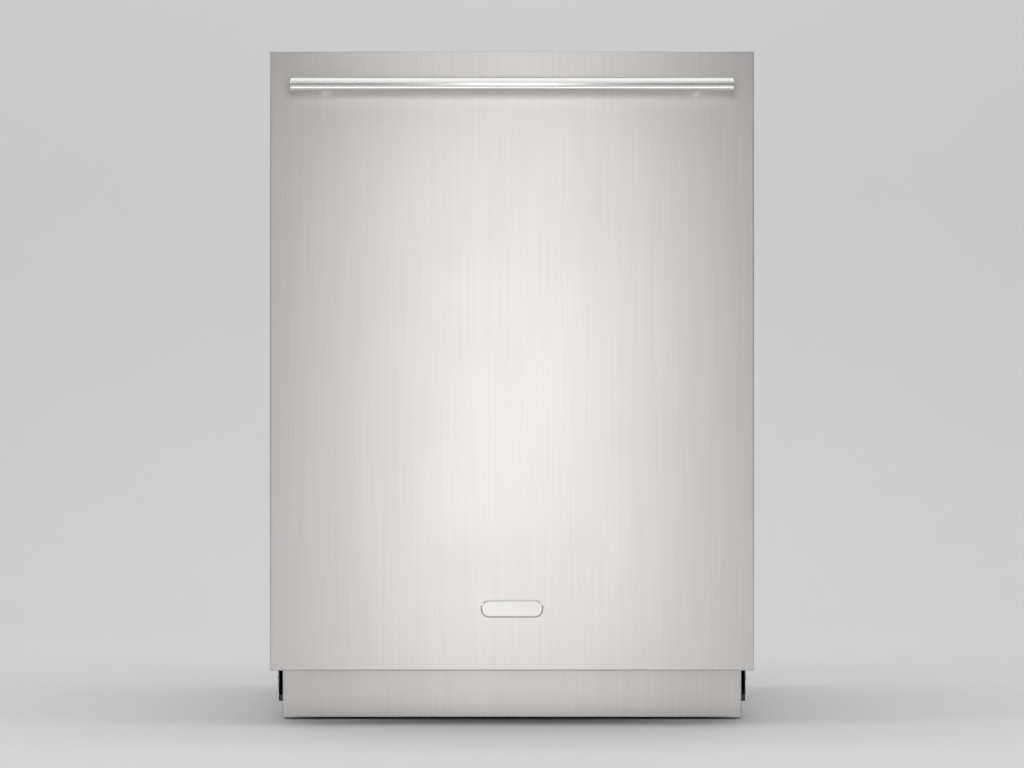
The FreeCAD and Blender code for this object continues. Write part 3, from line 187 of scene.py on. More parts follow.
def soft_box(name, place, target, wide, tall, power):
    """A rectangular lamp in metres and watts, turned to its target."""
    lamp = bpy.data.lights.new(name, "AREA")
    lamp.shape = "RECTANGLE"
    lamp.size = wide
    lamp.size_y = tall
    lamp.energy = power
    made = new_object(name, lamp)
    made.location = place
    made.rotation_euler = (Vector(target) - Vector(place)).to_track_quat("-Z", "Y").to_euler()
    made.visible_camera = False
    return made


def lamp_group(name, piece, state):
    """A collection by which a lamp reaches only this piece, or all but this piece."""
    group = bpy.data.collections.new(name)
    group.objects.link(piece)
    group.collection_objects[0].light_linking.link_state = state
    return group


lamps = {name: soft_box(name, *values) for name, values in LAMPS.items()}
not_studio = lamp_group("not_lit_by_front_box", studio, "EXCLUDE")
lamps["front_box"].light_linking.receiver_collection = not_studio
lamps["front_box"].light_linking.blocker_collection = not_studio
lamps["wall_box"].visible_glossy = False
world = bpy.data.worlds.new("room")
bpy.context.scene.world = world
world.use_nodes = True
feed(world.node_tree.nodes["Background"], {"Color": (0.9, 0.9, 0.9, 1), "Strength": ROOM_LIGHT})
bpy.context.scene.view_settings.view_transform = "Standard"
print("lamps:", list(lamps))

# %% [markdown]
# ## Effects that several finishes share
# A metal or plastic looks real through small differences over its surface. Each effect is one node group,
# placed in every material that needs it: drawn grain for brushed metal, handling marks that change the
# gloss, and the fine skin of a moulding. The groups put out only values, and the shader stays in the
# material.

# %% Node groups
NUMBER_SOCKETS = {int: "Int", float: "Float"}


def new_group(name, inputs, values=()):
    """A node group's three handles: one adds nodes, one holds the inputs, and one links the outputs and gives
    the tree. An input is its default number or the name of its kind. A group that puts out named values is
    for shaders, and any other makes geometry."""
    tree = bpy.data.node_groups.new(name, "ShaderNodeTree" if values else "GeometryNodeTree")
    for label, value in inputs.items():
        sort = NUMBER_SOCKETS.get(type(value), value)
        made = tree.interface.new_socket(label, in_out="INPUT", socket_type="NodeSocket" + sort)
        if sort != value:
            made.default_value = value
    for label in values or ("Geometry",):
        sort = "NodeSocketFloat" if values else "NodeSocketGeometry"
        tree.interface.new_socket(label, in_out="OUTPUT", socket_type=sort)
    start = tree.nodes.new("NodeGroupInput")
    last = tree.nodes.new("NodeGroupOutput")
    return partial(put, tree), start.outputs, lambda **results: feed(last, results).id_data


# %% Grain, marks and skin
def ranged(add, value, low, high, start=0.0, stop=1.0):
    """A value moved from one span to another."""
    return add("MapRange", {"Value": value, "From Min": start, "From Max": stop,
                            "To Min": low, "To Max": high})


def effect(name, scale, noises, span=None):
    """A group of noises, each with the group's scale or its own. Where a span is given, it becomes 0 to 1."""
    add, start, end = new_group(name, {"Vector": "Vector", "Scale": scale}, noises)
    results = {}
    for label, values in noises.items():
        noise = add("TexNoise", {"Vector": start["Vector"], "Scale": start["Scale"], **values})
        results[label] = ranged(add, noise, 0.0, 1.0, *span) if span else noise
    return end(**results)


GRAIN = effect("drawn_grain", 1.0, {"Streak": {"Detail": 4.0, "Roughness": 0.65},
                                    "Band": {"Scale": 0.12, "Detail": 2.0, "Roughness": 0.5}})
MARKS = effect("handling_marks", 9.0, {"Mark": {"Detail": 5.0, "Roughness": 0.6, "Distortion": 0.6}},
               (0.35, 0.7))
SKIN = effect("moulded_skin", 900.0, {"Height": {"Detail": 2.0, "Roughness": 0.6},
                                      "Flow": {"Scale": 14.0, "Detail": 3.0}})
print("shared effects:", [tree.name for tree in (GRAIN, MARKS, SKIN)])

# %% [markdown]
# ## Metals
# The door's steel is brushed from top to bottom, so its streaks are stretched along Z. The same recipe,
# stretched along X, makes the handle, and with almost no grain it makes the bright steel of the tub.

# %% Brushed metal
METAL_MARKS = 7.0
RELIEF = 0.0002
FINE_ALONG_Z = (2600.0, 2600.0, 60.0)
FINE_ALONG_X = (14.0, 3600.0, 3600.0)
ALIKE = (90.0, 90.0, 90.0)


def blended(add, factor, low, high):
    """A colour between two, by a value."""
    return add("Mix", {"Factor": factor, 6: (*low, 1), 7: (*high, 1)}, data_type="RGBA").outputs[2]


def summed(add, one, other):
    return add("Math", {0: one, 1: other}, operation="ADD")


def brushed(name, dark, light, stretch, rough, bump):
    """Drawn metal: stretch is how fine the grain is along X, Y and Z, and rough spans its roughness."""
    made, add, shader, place = blank_material(name)
    along = add("Mapping", {"Vector": place, "Scale": stretch})
    grain = add("Group", {"Vector": along}, node_tree=GRAIN)
    marks = add("Group", {"Vector": place, "Scale": METAL_MARKS}, node_tree=MARKS)
    tone = ranged(add, summed(add, grain, grain.outputs["Band"]), 0.0, 1.0, 0.65, 1.35)
    gloss = summed(add, ranged(add, grain, 0.0, 0.6, 0.3, 0.7), ranged(add, marks, 0.0, 0.4))
    relief = add("Bump", {"Height": grain, "Strength": bump, "Distance": RELIEF})
    feed(shader, {"Base Color": blended(add, tone, dark, light), "Roughness": ranged(add, gloss, *rough),
                  "Normal": relief, "Metallic": 1.0})
    return made


# %% Zinc sheet and the table of metals
def zinc_sheet(name):
    """Galvanised sheet with the soft-edged crystals of its zinc, in two sizes."""
    made, add, shader, place = blank_material(name)
    wavy = add("TexNoise", {"Vector": place, "Scale": 90.0, "Detail": 2.0}).outputs["Color"]
    bent = add("VectorMath", {0: wavy, 1: (0.006, 0.006, 0.006), 2: place}, operation="MULTIPLY_ADD")
    cells = [add("TexVoronoi", {"Vector": bent, "Scale": scale}).outputs["Color"] for scale in (75.0, 190.0)]
    both = summed(add, *[add("RGBToBW", {"Color": colour}) for colour in cells])
    tone = ranged(add, both, 0.0, 1.0, 0.4, 1.6)
    feed(shader, {"Base Color": blended(add, tone, (0.44, 0.45, 0.47), (0.64, 0.65, 0.66)),
                  "Roughness": ranged(add, both, 0.28, 0.46, 0.4, 1.6), "Metallic": 0.9})
    return made


METALS = {
    "panel_steel": ((0.640, 0.624, 0.616), (0.690, 0.675, 0.667), FINE_ALONG_Z, (0.295, 0.335), 0.12),
    "handle_steel": ((0.72, 0.71, 0.70), (0.84, 0.83, 0.82), FINE_ALONG_X, (0.20, 0.30), 0.12),
    "badge_steel": ((0.70, 0.69, 0.68), (0.82, 0.81, 0.80), FINE_ALONG_X, (0.30, 0.38), 0.05),
    "tub_steel": ((0.62, 0.62, 0.62), (0.69, 0.69, 0.69), FINE_ALONG_X, (0.215, 0.245), 0.02),
    "hinge_steel": ((0.40, 0.40, 0.41), (0.56, 0.55, 0.53), ALIKE, (0.3, 0.5), 0.1),
}
FINISH = {name: brushed(name, *values) for name, values in METALS.items()}
FINISH["casing_steel"] = zinc_sheet("zinc_sheet")
print("metals:", sorted(FINISH))

# %% [markdown]
# ## Plastics, rubber and felt
# Moulded plastics share one recipe with different colours and skins. The rack's nylon coat is smoother
# and a little waxy, rubber is dull and dusty, and the sound mats are fibres, so their colour and relief
# come from fine noise.

# %% Moulded plastics
PLASTIC_MARKS = 16.0


def moulded(name, dark, light, rough, skin_scale=900.0, bump=0.15, coat=0.0):
    made, add, shader, place = blank_material(name)
    skin = add("Group", {"Vector": place, "Scale": skin_scale}, node_tree=SKIN)
    marks = add("Group", {"Vector": place, "Scale": PLASTIC_MARKS}, node_tree=MARKS)
    relief = add("Bump", {"Height": skin, "Strength": bump, "Distance": RELIEF})
    feed(shader, {"Base Color": blended(add, skin.outputs["Flow"], dark, light), "Coat Weight": coat,
                  "Roughness": ranged(add, marks, *rough), "Normal": relief})
    return made


# %% Felt and the table of plastics
def felt(name):
    """Matted fibres: two sizes of noise give the colour and the relief."""
    made, add, shader, place = blank_material(name)
    fibre = add("TexNoise", {"Vector": place, "Scale": 420.0, "Detail": 6.0, "Roughness": 0.75,
                             "Distortion": 1.5})
    both = summed(add, fibre, add("TexNoise", {"Vector": place, "Scale": 38.0, "Detail": 3.0}))
    tone = ranged(add, both, 0.0, 1.0, 0.6, 1.4)
    feed(shader, {"Base Color": blended(add, tone, (0.035, 0.036, 0.038), (0.15, 0.15, 0.155)),
                  "Normal": add("Bump", {"Height": both, "Strength": 0.7, "Distance": 0.0012}),
                  "Roughness": 0.95, "Sheen Weight": 0.25})
    return made


PLASTICS = {
    "dark_plastic": ((0.020, 0.020, 0.022), (0.038, 0.038, 0.040), (0.38, 0.52)),
    "grey_plastic": ((0.30, 0.31, 0.33), (0.36, 0.37, 0.39), (0.34, 0.46)),
    "pale_plastic": ((0.66, 0.67, 0.68), (0.74, 0.75, 0.76), (0.30, 0.42)),
    "rack_wire": ((0.46, 0.47, 0.49), (0.52, 0.53, 0.55), (0.24, 0.34), 260.0, 0.2),
    "rubber": ((0.012, 0.012, 0.012), (0.034, 0.033, 0.032), (0.62, 0.82), 500.0, 0.3),
    "window": ((0.006, 0.006, 0.008), (0.010, 0.010, 0.013), (0.06, 0.12), 60.0, 0.01, 1.0),
    "board": ((0.010, 0.060, 0.025), (0.016, 0.095, 0.040), (0.30, 0.45), 700.0, 0.4),
}
FINISH.update({name: moulded(name, *values) for name, values in PLASTICS.items()})
FINISH["wool"] = felt("felt")
print("finishes:", sorted(FINISH))

# %% [markdown]
# ## Softened pieces
# A sheet-metal or moulded part never has a knife edge: its bends and rims catch a line of light. Most
# solids already have the right shape, so a copy of each is cleaned of its triangles and gets a small
# bevel on its sharp edges. The bevel's width follows the making: less on folded sheet than on mouldings.

# %% Finished pieces
def reworked(name, meshes, work=None):
    """One mesh from several, each with its own skin, after a piece of work on it."""
    shell = bmesh.new()
    for mesh in meshes:
        shell.from_mesh(mesh)
    if work:
        work(shell)
    whole = bpy.data.meshes.new(name)
    shell.to_mesh(whole)
    shell.free()
    return whole


def applied(piece):
    """Bakes a piece's modifiers into a plain mesh."""
    bpy.context.view_layer.update()
    graph = bpy.context.evaluated_depsgraph_get()
    mesh = bpy.data.meshes.new_from_object(piece.evaluated_get(graph))
    piece.modifiers.clear()
    piece.data = mesh
    return piece


def smoothed(mesh, angle=35):
    """Smooth shading, with edges sharper than the angle kept crisp."""
    mesh.shade_smooth()
    mesh.set_sharp_from_angle(angle=math.radians(angle))
    return mesh


def dress(piece, node):
    """Puts a finished piece on the body of the solid that it stands for, in that solid's finish."""
    piece.data.materials.clear()
    piece.data.materials.append(FINISH[SLOT_OF[node]])
    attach(piece, BODY_OF[node])
    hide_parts(node)
    return piece


# %% Soften the edges of a solid
def without_triangles(shell):
    """Joined corners and whole flat faces."""
    bmesh.ops.remove_doubles(shell, verts=shell.verts, dist=0.00001)
    bmesh.ops.dissolve_limit(shell, angle_limit=math.radians(0.5), verts=shell.verts, edges=shell.edges)


def copied(node):
    """A clean copy of a solid's mesh."""
    return reworked(node + "_mesh", [frame["nodes"][node].data], without_triangles)


def softened(node, width, segments=2, mesh=None):
    """A solid's own shape with its sharp edges rounded."""
    piece = new_object(node + "_look", smoothed(mesh or copied(node)))
    bevel = piece.modifiers.new("soft_edges", "BEVEL")
    bevel.width = width * MM
    bevel.segments = segments
    bevel.limit_method = "ANGLE"
    bevel.angle_limit = math.radians(30)
    even = piece.modifiers.new("flat_faces", "WEIGHTED_NORMAL")
    even.keep_sharp = True
    return dress(applied(piece), node)


SHEET_EDGE = 0.4
MOULDED_EDGE = 0.8
FOLDED_SHEET = ["kick_plate", "door_shell", "door_striker", "countertop_brackets", "hinge_arms",
                "hinge_brackets", "upper_rails", "tray_rails", "tub"]
MOULDINGS = ["control_console", "base_frame", "wash_duct", "middle_feed_pipe", "upper_slides",
             "tray_slides", "sump", "drain_pump", "circulation_pump", "inlet_valve", "terminal_box",
             "latch_plunger", "power_button", "cycle_button", "option_button", "start_button",
             "display_window", "door_bottom_seal", "control_board"]

for node in FOLDED_SHEET:
    softened(node, SHEET_EDGE)
for node in MOULDINGS:
    softened(node, MOULDED_EDGE, segments=3)
print(len(FOLDED_SHEET) + len(MOULDINGS), "solids softened")

# %% [markdown]
# ## Skins and lathe work
# Many of the finer pieces are either turned, like the handle, or a skin over a row of outlines, like the
# badge and the spray arms. Both come down to one thing: rings of points in order, joined by faces and
# closed at the ends. The normals are worked out afterwards, so the rings may run in either direction.

# %% Lofted and turned meshes
LAID = {"x": lambda a, u, v: (a, u, v), "y": lambda a, u, v: (u, a, v), "z": lambda a, u, v: (u, v, a)}


def outward(shell):
    """Joined corners, and faces that all point out of the shape."""
    bmesh.ops.remove_doubles(shell, verts=shell.verts, dist=0.000001)
    bmesh.ops.recalc_face_normals(shell, faces=shell.faces)


def lofted(name, rings, ends=True):
    """A closed skin over rings that have the same number of points."""
    count = len(rings[0])
    faces = []
    if ends:
        faces = [tuple(range(count)), tuple(range((len(rings) - 1) * count, len(rings) * count))]
    for row in range(len(rings) - 1):
        low, high = row * count, (row + 1) * count
        faces += [(low + i, low + (i + 1) % count, high + (i + 1) % count, high + i) for i in range(count)]
    points = [point for ring in rings for point in ring]
    return reworked(name, [new_mesh(name, points, faces)], outward)


def turned(name, centre, axis, profile, sides=64, way=1):
    """Lathe work: the profile is a list of (radius, distance along the axis) in millimetres. It starts from
    the centre and goes along the axis, or against it where way is -1."""
    turns = [2 * math.pi * i / sides for i in range(sides)]
    rings = []
    for radius, along in profile:
        spots = [LAID[axis](way * along, radius * math.cos(t), radius * math.sin(t)) for t in turns]
        rings.append([Vector(centre) + Vector(spot) * MM for spot in spots])
    return lofted(name, rings, profile[0] != profile[-1])


# %% Pieces from meshes
def show(name, node, *meshes, angle=None):
    """A finished piece made of meshes, which are smoothed together where an angle is given."""
    mesh = reworked(name, meshes) if len(meshes) > 1 else meshes[0]
    if angle:
        smoothed(mesh, angle)
    print(name, len(mesh.polygons), "faces")
    return dress(new_object(name, mesh), node)


# %% [markdown]
# ## The bar handle
# The handle is a satin steel bar on two short posts. The bar is plain lathe work with slightly rounded
# ends, and two lamps of its own draw the bright lines along it. Each post widens to the panel in a soft
# fillet, and runs a little way into the bar, as a welded post does.

# %% Handle bar and posts
BAR_LOW, BAR_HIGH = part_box("handle_bar")
BAR_RADIUS = (BAR_HIGH.z - BAR_LOW.z) / 2 / MM
BAR_HALF = BAR_HIGH.x / MM
BAR_CENTRE = Vector((0, (BAR_LOW.y + BAR_HIGH.y) / 2, (BAR_LOW.z + BAR_HIGH.z) / 2))
BAR_CURVE = 0.9
BAR_LAMPS = {
    "low_box": ((0, BAR_CENTRE.y - 0.40, 0.03), BAR_CENTRE, 1.7, 0.24, 1.9),
    "fill_box": ((0, -2.3, 1.5), BAR_CENTRE, 2.6, 0.8, 4.6),
}
bar_end = [(BAR_RADIUS - BAR_CURVE * (1 - math.cos(t)), BAR_HALF - BAR_CURVE + BAR_CURVE * math.sin(t))
           for t in map(math.radians, (0, 35, 65, 90))]
bar_profile = [(radius, -along) for radius, along in reversed(bar_end)] + bar_end
bar = show("bar_handle", "handle_bar", turned("handle_bar", BAR_CENTRE, "x", bar_profile, sides=96), angle=50)
lit_bar = lamp_group("lit_by_low_box", bar, "INCLUDE")
for name, values in BAR_LAMPS.items():
    soft_box(name, *values).light_linking.receiver_collection = lit_bar

FOOT_RADIUS = 10.0
POST_RADIUS = 7.0
POST_SINK = 4
POST_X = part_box("handle_posts")[1].x - FOOT_RADIUS * MM
POST_REACH = (PANEL_LOW.y - BAR_HIGH.y) / MM + POST_SINK
POST_PROFILE = [(7.8, 0), (7.4, -0.4), (7.15, -1.2), (POST_RADIUS, -2.4), (POST_RADIUS, -POST_REACH)]
show("handle_feet", "handle_posts",
     *[turned("handle_post", (side * POST_X, PANEL_LOW.y, BAR_CENTRE.z), "y", POST_PROFILE)
       for side in (-1, 1)], angle=50)
print("bar", round(2 * BAR_HALF), "mm long, posts at", round(POST_X / MM))

# %% [markdown]
# ## The badge plate
# The plate near the bottom of the door is a pill: two half circles and straight sides. Its rim stands a
# little above the bare field inside. Insetting the same outline step by step gives the rim its rounded
# section.

# %% Badge plate
BADGE_LOW, BADGE_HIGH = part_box("badge_plate")
BADGE_Z = (BADGE_LOW.z + BADGE_HIGH.z) / 2
BADGE_HALF = BADGE_HIGH.x / MM
BADGE_END = (BADGE_HIGH.z - BADGE_LOW.z) / 2 / MM
BADGE_SECTION = [(0.2, 0), (0, 0.4), (0.15, 0.7), (1.15, 2.1), (1.4, 2.3), (1.7, 2.4), (2.0, 2.3),
                 (2.15, 2.2), (2.3, 2.2)]


def pill(inset, proud, steps=20):
    """The badge's outline, moved in by inset and out of the panel by proud."""
    radius = BADGE_END - inset
    ring = []
    for side in (1, -1):
        for step in range(steps + 1):
            turn = math.radians(-90 + 180 * step / steps)
            x = side * (BADGE_HALF - BADGE_END + radius * math.cos(turn))
            z = BADGE_Z + side * radius * math.sin(turn) * MM
            ring.append(Vector((x * MM, PANEL_LOW.y - proud * MM, z)))
    return ring


show("bare_badge", "badge_plate", lofted("badge_plate", [pill(*step) for step in BADGE_SECTION]), angle=40)
softened("door_panel", 0.3)
print("badge", round(2 * BADGE_HALF, 1), "x", round(2 * BADGE_END, 1), "mm")

# %% [markdown]
# ## Wire racks with Geometry Nodes
# A rack is one rule repeated: a wire runs across the floor, bends up at both walls, and the next one
# follows a bay further on. Three small trees hold that rule. The first bends a wire through four corners
# and repeats it, the second lays closed hoops round the walls, and the third plants a row of tines. Wires
# that cross lie on each other and sink in a little, as welded wires do.

# %% Steps that several trees share
ROW = {"Count": 1, "First": "Vector", "Step": "Vector", "Wire": 0.0034, "Material": "Material"}
WIRE_SIDES = 10
TIP_PART = 0.52


def swept(add, start, path, caps=False):
    """A round wire along a path."""
    half = add("Math", {0: start["Wire"], 1: 0.5}, operation="MULTIPLY")
    section = add("CurvePrimitiveCircle", {"Resolution": WIRE_SIDES, "Radius": half})
    return add("CurveToMesh", {"Curve": path, "Profile Curve": section, "Fill Caps": caps})


def rounded(add, start, path, count):
    """A path with round corners, each of this many points."""
    return add("FilletCurve", {"Curve": path, "Count": count, "Limit Radius": True, "Radius": start["Bend"]},
               mode="POLY")


def real(add, copies):
    return add("RealizeInstances", {"Geometry": copies})


def ended(add, start, end, shape):
    """Ends a tree with its shape in the material that it was given."""
    return end(Geometry=add("SetMaterial", {"Geometry": shape, "Material": start["Material"]}))


def repeated(add, start, end, shape):
    """Ends a tree in smooth copies of a shape along a row."""
    row = add("MeshLine", {"Count": start["Count"], "Start Location": start["First"],
                           "Offset": start["Step"]})
    copies = add("InstanceOnPoints", {"Points": row, "Instance": shape})
    return ended(add, start, end, add("SetShadeSmooth", {"Geometry": real(add, copies)}))


# %% Trees for wires, hoops and tines
def bent_wires():
    """A wire bent through four corners, repeated by a step."""
    labels = [f"Corner {letter}" for letter in "ABCD"]
    add, start, end = new_group("bent_wires", {**ROW, **dict.fromkeys(labels, "Vector"), "Bend": 0.01})
    pick = add("IndexSwitch", data_type="VECTOR")
    while len(pick.index_switch_items) < len(labels):
        pick.index_switch_items.new()
    feed(pick, {"Index": add("InputIndex")})
    feed(pick, {str(order): start[label] for order, label in enumerate(labels)})
    line = add("MeshLine", {"Count": len(labels)})
    path = add("MeshToCurve", {"Mesh": add("SetPosition", {"Geometry": line, "Position": pick})})
    return repeated(add, start, end, swept(add, start, rounded(add, start, path, 4), True))


def wire_hoops():
    """Closed hoops with round corners, one above the other."""
    add, start, end = new_group("wire_hoops", {**ROW, "Width": 0.1, "Depth": 0.1, "Bend": 0.02})
    loop = add("CurvePrimitiveQuadrilateral", {"Width": start["Width"], "Height": start["Depth"]})
    return repeated(add, start, end, swept(add, start, rounded(add, start, loop, 8)))


def tine_row():
    """Upright pins with round tips, in a row."""
    add, start, end = new_group("tine_row", {**ROW, "Lean": "Vector"})
    pin = swept(add, start, add("CurvePrimitiveLine", {"End": start["Lean"]}))
    radius = add("Math", {0: start["Wire"], 1: TIP_PART}, operation="MULTIPLY")
    tip = add("MeshUVSphere", {"Segments": WIRE_SIDES, "Rings": 6, "Radius": radius})
    both = add("JoinGeometry", {0: pin})
    feed(both, {0: add("Transform", {"Geometry": tip, "Translation": start["Lean"]})})
    return repeated(add, start, end, both)


BENT_WIRES = bent_wires()
WIRE_HOOPS = wire_hoops()
TINE_ROW = tine_row()
print("rack trees:", BENT_WIRES.name, WIRE_HOOPS.name, TINE_ROW.name)

# %% Grow a tree into a mesh
def mm(*place):
    """A place that is given in millimetres."""
    return Vector(place) * MM


def baked(piece):
    """A piece's mesh after its modifiers. The piece itself goes."""
    mesh = applied(piece).data
    bpy.data.objects.remove(piece)
    return mesh


def grown(tree, spots=(), **values):
    """What a tree makes from these inputs, and from loose spots where it takes them, as a plain mesh."""
    piece = new_object(tree.name, new_mesh(tree.name, [mm(*spot) for spot in spots], []))
    maker = piece.modifiers.new("maker", "NODES")
    maker.node_group = tree
    sockets = {item.name: item.identifier for item in tree.interface.items_tree if item.item_type == "SOCKET"}
    for label, value in values.items():
        maker[sockets[label.replace("_", " ")]] = value
    return baked(piece)


def corners(*places):
    """The corners of one bent wire, in millimetres."""
    return {f"Corner_{letter}": mm(*place) for letter, place in zip("ABCD", places)}


# %% [markdown]
# ## The three racks
# Every rack has the same plan, 12 bays across and 11 along, and differs only in height. The wires keep to
# the box of the rack's solid: the hoops lie outermost, and the bent wires just inside them.

# %% Rack sizes
def box_of(node):
    """The corners of a solid's box, in millimetres."""
    low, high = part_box(node)
    return low / MM, high / MM


WIRE = 3.4
RIM_WIRE = 4.6
SINK = 1.9
BAYS_ACROSS = 12
BAYS_ALONG = 11
RACK_EDGE = 2
FLOOR_BEND = 0.012
HOOP_BEND = 0.02
UPPER_LOW, UPPER_HIGH = box_of("upper_rack")
TRAY_LOW, TRAY_HIGH = box_of("cutlery_tray")
RACK_HALF = UPPER_HIGH.x
FRONT_Y, BACK_Y = UPPER_LOW.y, UPPER_HIGH.y
BAY_X = (2 * RACK_HALF - 2 * RACK_EDGE) / BAYS_ACROSS
BAY_Y = (BACK_Y - FRONT_Y - 2 * RACK_EDGE) / BAYS_ALONG


# %% Rack wires
def wire_basket(floor, top, levels):
    """Bent wires both ways and hoops round them, between two heights in millimetres."""
    rim = RIM_WIRE / 2
    wall_x = RACK_HALF - rim - SINK
    wall_low, wall_high = FRONT_Y + rim + SINK, BACK_Y - rim - SINK
    low, high = floor + 1, floor + 1 + SINK
    end = top - rim
    coat = FINISH["rack_wire"]

    def hung(count, first, step, near, far, z):
        """Wires that go down one wall, along the floor and up the other wall."""
        return grown(BENT_WIRES, Count=count, First=mm(*first), Step=mm(*step), Wire=WIRE * MM, Material=coat,
                     Bend=FLOOR_BEND, **corners((*near, end), (*near, z), (*far, z), (*far, end)))

    along = hung(BAYS_ACROSS - 1, (BAY_X - RACK_HALF + RACK_EDGE, 0, 0), (BAY_X, 0, 0),
                 (0, wall_low), (0, wall_high), low)
    across = hung(BAYS_ALONG - 1, (0, FRONT_Y + RACK_EDGE + BAY_Y, 0), (0, BAY_Y, 0),
                  (-wall_x, 0), (wall_x, 0), high)
    hoops = []
    for wire, count, z in ((WIRE, levels, floor + 2), (RIM_WIRE, 1, end)):
        hoops.append(grown(WIRE_HOOPS, Count=count, First=mm(0, (FRONT_Y + BACK_Y) / 2, z),
                           Step=mm(0, 0, (top - floor - 4) / levels), Bend=HOOP_BEND, Wire=wire * MM,
                           Width=(2 * RACK_HALF - wire) * MM, Depth=(BACK_Y - FRONT_Y - wire) * MM,
                           Material=coat))
    return [along, across, *hoops]


show("upper_basket", "upper_rack", *wire_basket(UPPER_LOW.z, UPPER_HIGH.z, 2))
show("flat_tray", "cutlery_tray", *wire_basket(TRAY_LOW.z, TRAY_HIGH.z, 1))

# %% [markdown]
# ## The lower rack, its wheels and the tines
# The lower rack stands on four wheels. Each turns on an axle that a moulded hanger holds below the rack's
# side. The wheels are lathe work with a rounded tread and a sunk web, and they are separate pieces
# because they roll.

# %% Blocks and middles
def slab(name, low, high, edge, segments=3):
    """A block with rounded edges, between two corners in millimetres."""
    low, high = Vector(low), Vector(high)

    def block(shell):
        bmesh.ops.create_cube(shell, size=1)
        bmesh.ops.scale(shell, vec=(high - low) * MM, verts=shell.verts)
        bmesh.ops.translate(shell, vec=(high + low) / 2 * MM, verts=shell.verts)
        bmesh.ops.bevel(shell, geom=shell.edges[:], offset=edge * MM, segments=segments, profile=0.5,
                        affect="EDGES")
    return reworked(name, [], block)


def middle(low, high):
    """The point half-way between two corners."""
    return [(a + b) / 2 for a, b in zip(low, high)]


# %% Lower rack with hangers, axles and wheels
LOWER_TOP = box_of("lower_rack")[1].z
LOWER_FLOOR = box_of("lower_tines")[0].z - 4
WHEEL_GAP = 2.5
WHEEL_WIDE = 10
AXLE_PROFILE = [(6, -4), (6, 2.3), (5.6, 2.5), (3, 2.5), (3, 12.5), (4.4, 12.5), (5, 13), (5, 14),
                (4.4, 14.5)]
WHEEL_HALF = [(3.3, 0.3), (7, 0.3), (7.4, 1.2), (8, 2.4), (12, 2.4), (12.6, 1.4), (13, 0.1), (14.6, 0.1),
              (15.6, 0.6), (16, 1.8)]
OTHER_HALF = [(radius, WHEEL_WIDE - along) for radius, along in reversed(WHEEL_HALF)]
WHEEL_PROFILE = WHEEL_HALF + OTHER_HALF + WHEEL_HALF[:1]
hangers = []
wheels = {"lower_front_wheels": [], "lower_rear_wheels": []}
for node, pair in wheels.items():
    _, y, z = middle(*box_of(node))
    for side in (-1, 1):
        near, far = sorted((side * (RACK_HALF - 4.5), side * (RACK_HALF - 0.2)))
        hangers.append(slab("hanger", (near, y - 11, z - 7), (far, y + 11, LOWER_FLOOR + 8), edge=1.4))
        hangers.append(turned("axle", mm(side * RACK_HALF, y, z), "x", AXLE_PROFILE, sides=32, way=side))
        hub = mm(side * (RACK_HALF + WHEEL_GAP), y, z)
        pair.append(smoothed(turned(node, hub, "x", WHEEL_PROFILE, sides=40, way=side), 40))
show("lower_basket", "lower_rack", *wire_basket(LOWER_FLOOR, LOWER_TOP, 3),
     *[smoothed(mesh, 40) for mesh in hangers])
for node, pair in wheels.items():
    show(node.replace("wheels", "rollers"), node, *pair)

# %% [markdown]
# Tines stand in rows on thin bars across the floor wires. A pin leans back a little from the plates it
# holds.

# %% Tines
TINE_WIRE = 3.2
BAR_BEND = 0.001
TINE_BEDS = {"lower_tines": ((1, 3, 5, 7), 3), "upper_tines": ((1, 3, 8, 10), 2)}


def tine_bed(node, bays, lean):
    """Rows of tines at these bays, as tall as their solid."""
    low, high = box_of(node)
    shared = {"Wire": TINE_WIRE * MM, "Material": FINISH["rack_wire"]}
    run = Vector((0, (BAYS_ALONG - 2) * BAY_Y, 0))
    rows = []
    for bay in bays:
        x = -RACK_HALF + (bay + 0.5) * BAY_X + RACK_EDGE
        foot = Vector((x, FRONT_Y + BAY_Y + RACK_EDGE, low.z + TINE_WIRE / 2))
        rows.append(grown(TINE_ROW, Count=BAYS_ALONG - 1, First=foot * MM, Step=mm(0, BAY_Y, 0),
                          Lean=mm(0, lean, high.z - low.z - TINE_WIRE), **shared))
        rows.append(grown(BENT_WIRES, Count=1, Bend=BAR_BEND, **shared,
                          **corners(foot, foot + run / 3, foot + 2 * run / 3, foot + run)))
    return show(node + "_pins", node, *rows)


for node, (bays, lean) in TINE_BEDS.items():
    tine_bed(node, bays, lean)

# %% [markdown]
# ## Spray arms
# A spray arm is a hollow blade, widest at its hub and narrow at its tips, with a rounded section.
# Skinning a row of rounded outlines along its length gives that. The jets are small collars with a sunk
# hole, placed by a tree along the blade's top.

# %% Blades
TIP_WIDE = 26
HUB_WIDE = 44
BLADE_THICK = 12
BLADE_SIDES = 32
TIP_START, TIP_LONG = 0.93, 0.07
NARROWEST = 0.18
TAPER = 1.1
FULL_ACROSS, FULL_UP = 0.6, 0.8
STATIONS = [-1, -0.995, -0.98, -0.95, -0.9, -0.7, -0.5, -0.3, -0.15]


def fuller(value, power):
    """A sine or cosine that makes a circle squarer."""
    return math.copysign(abs(value) ** power, value)


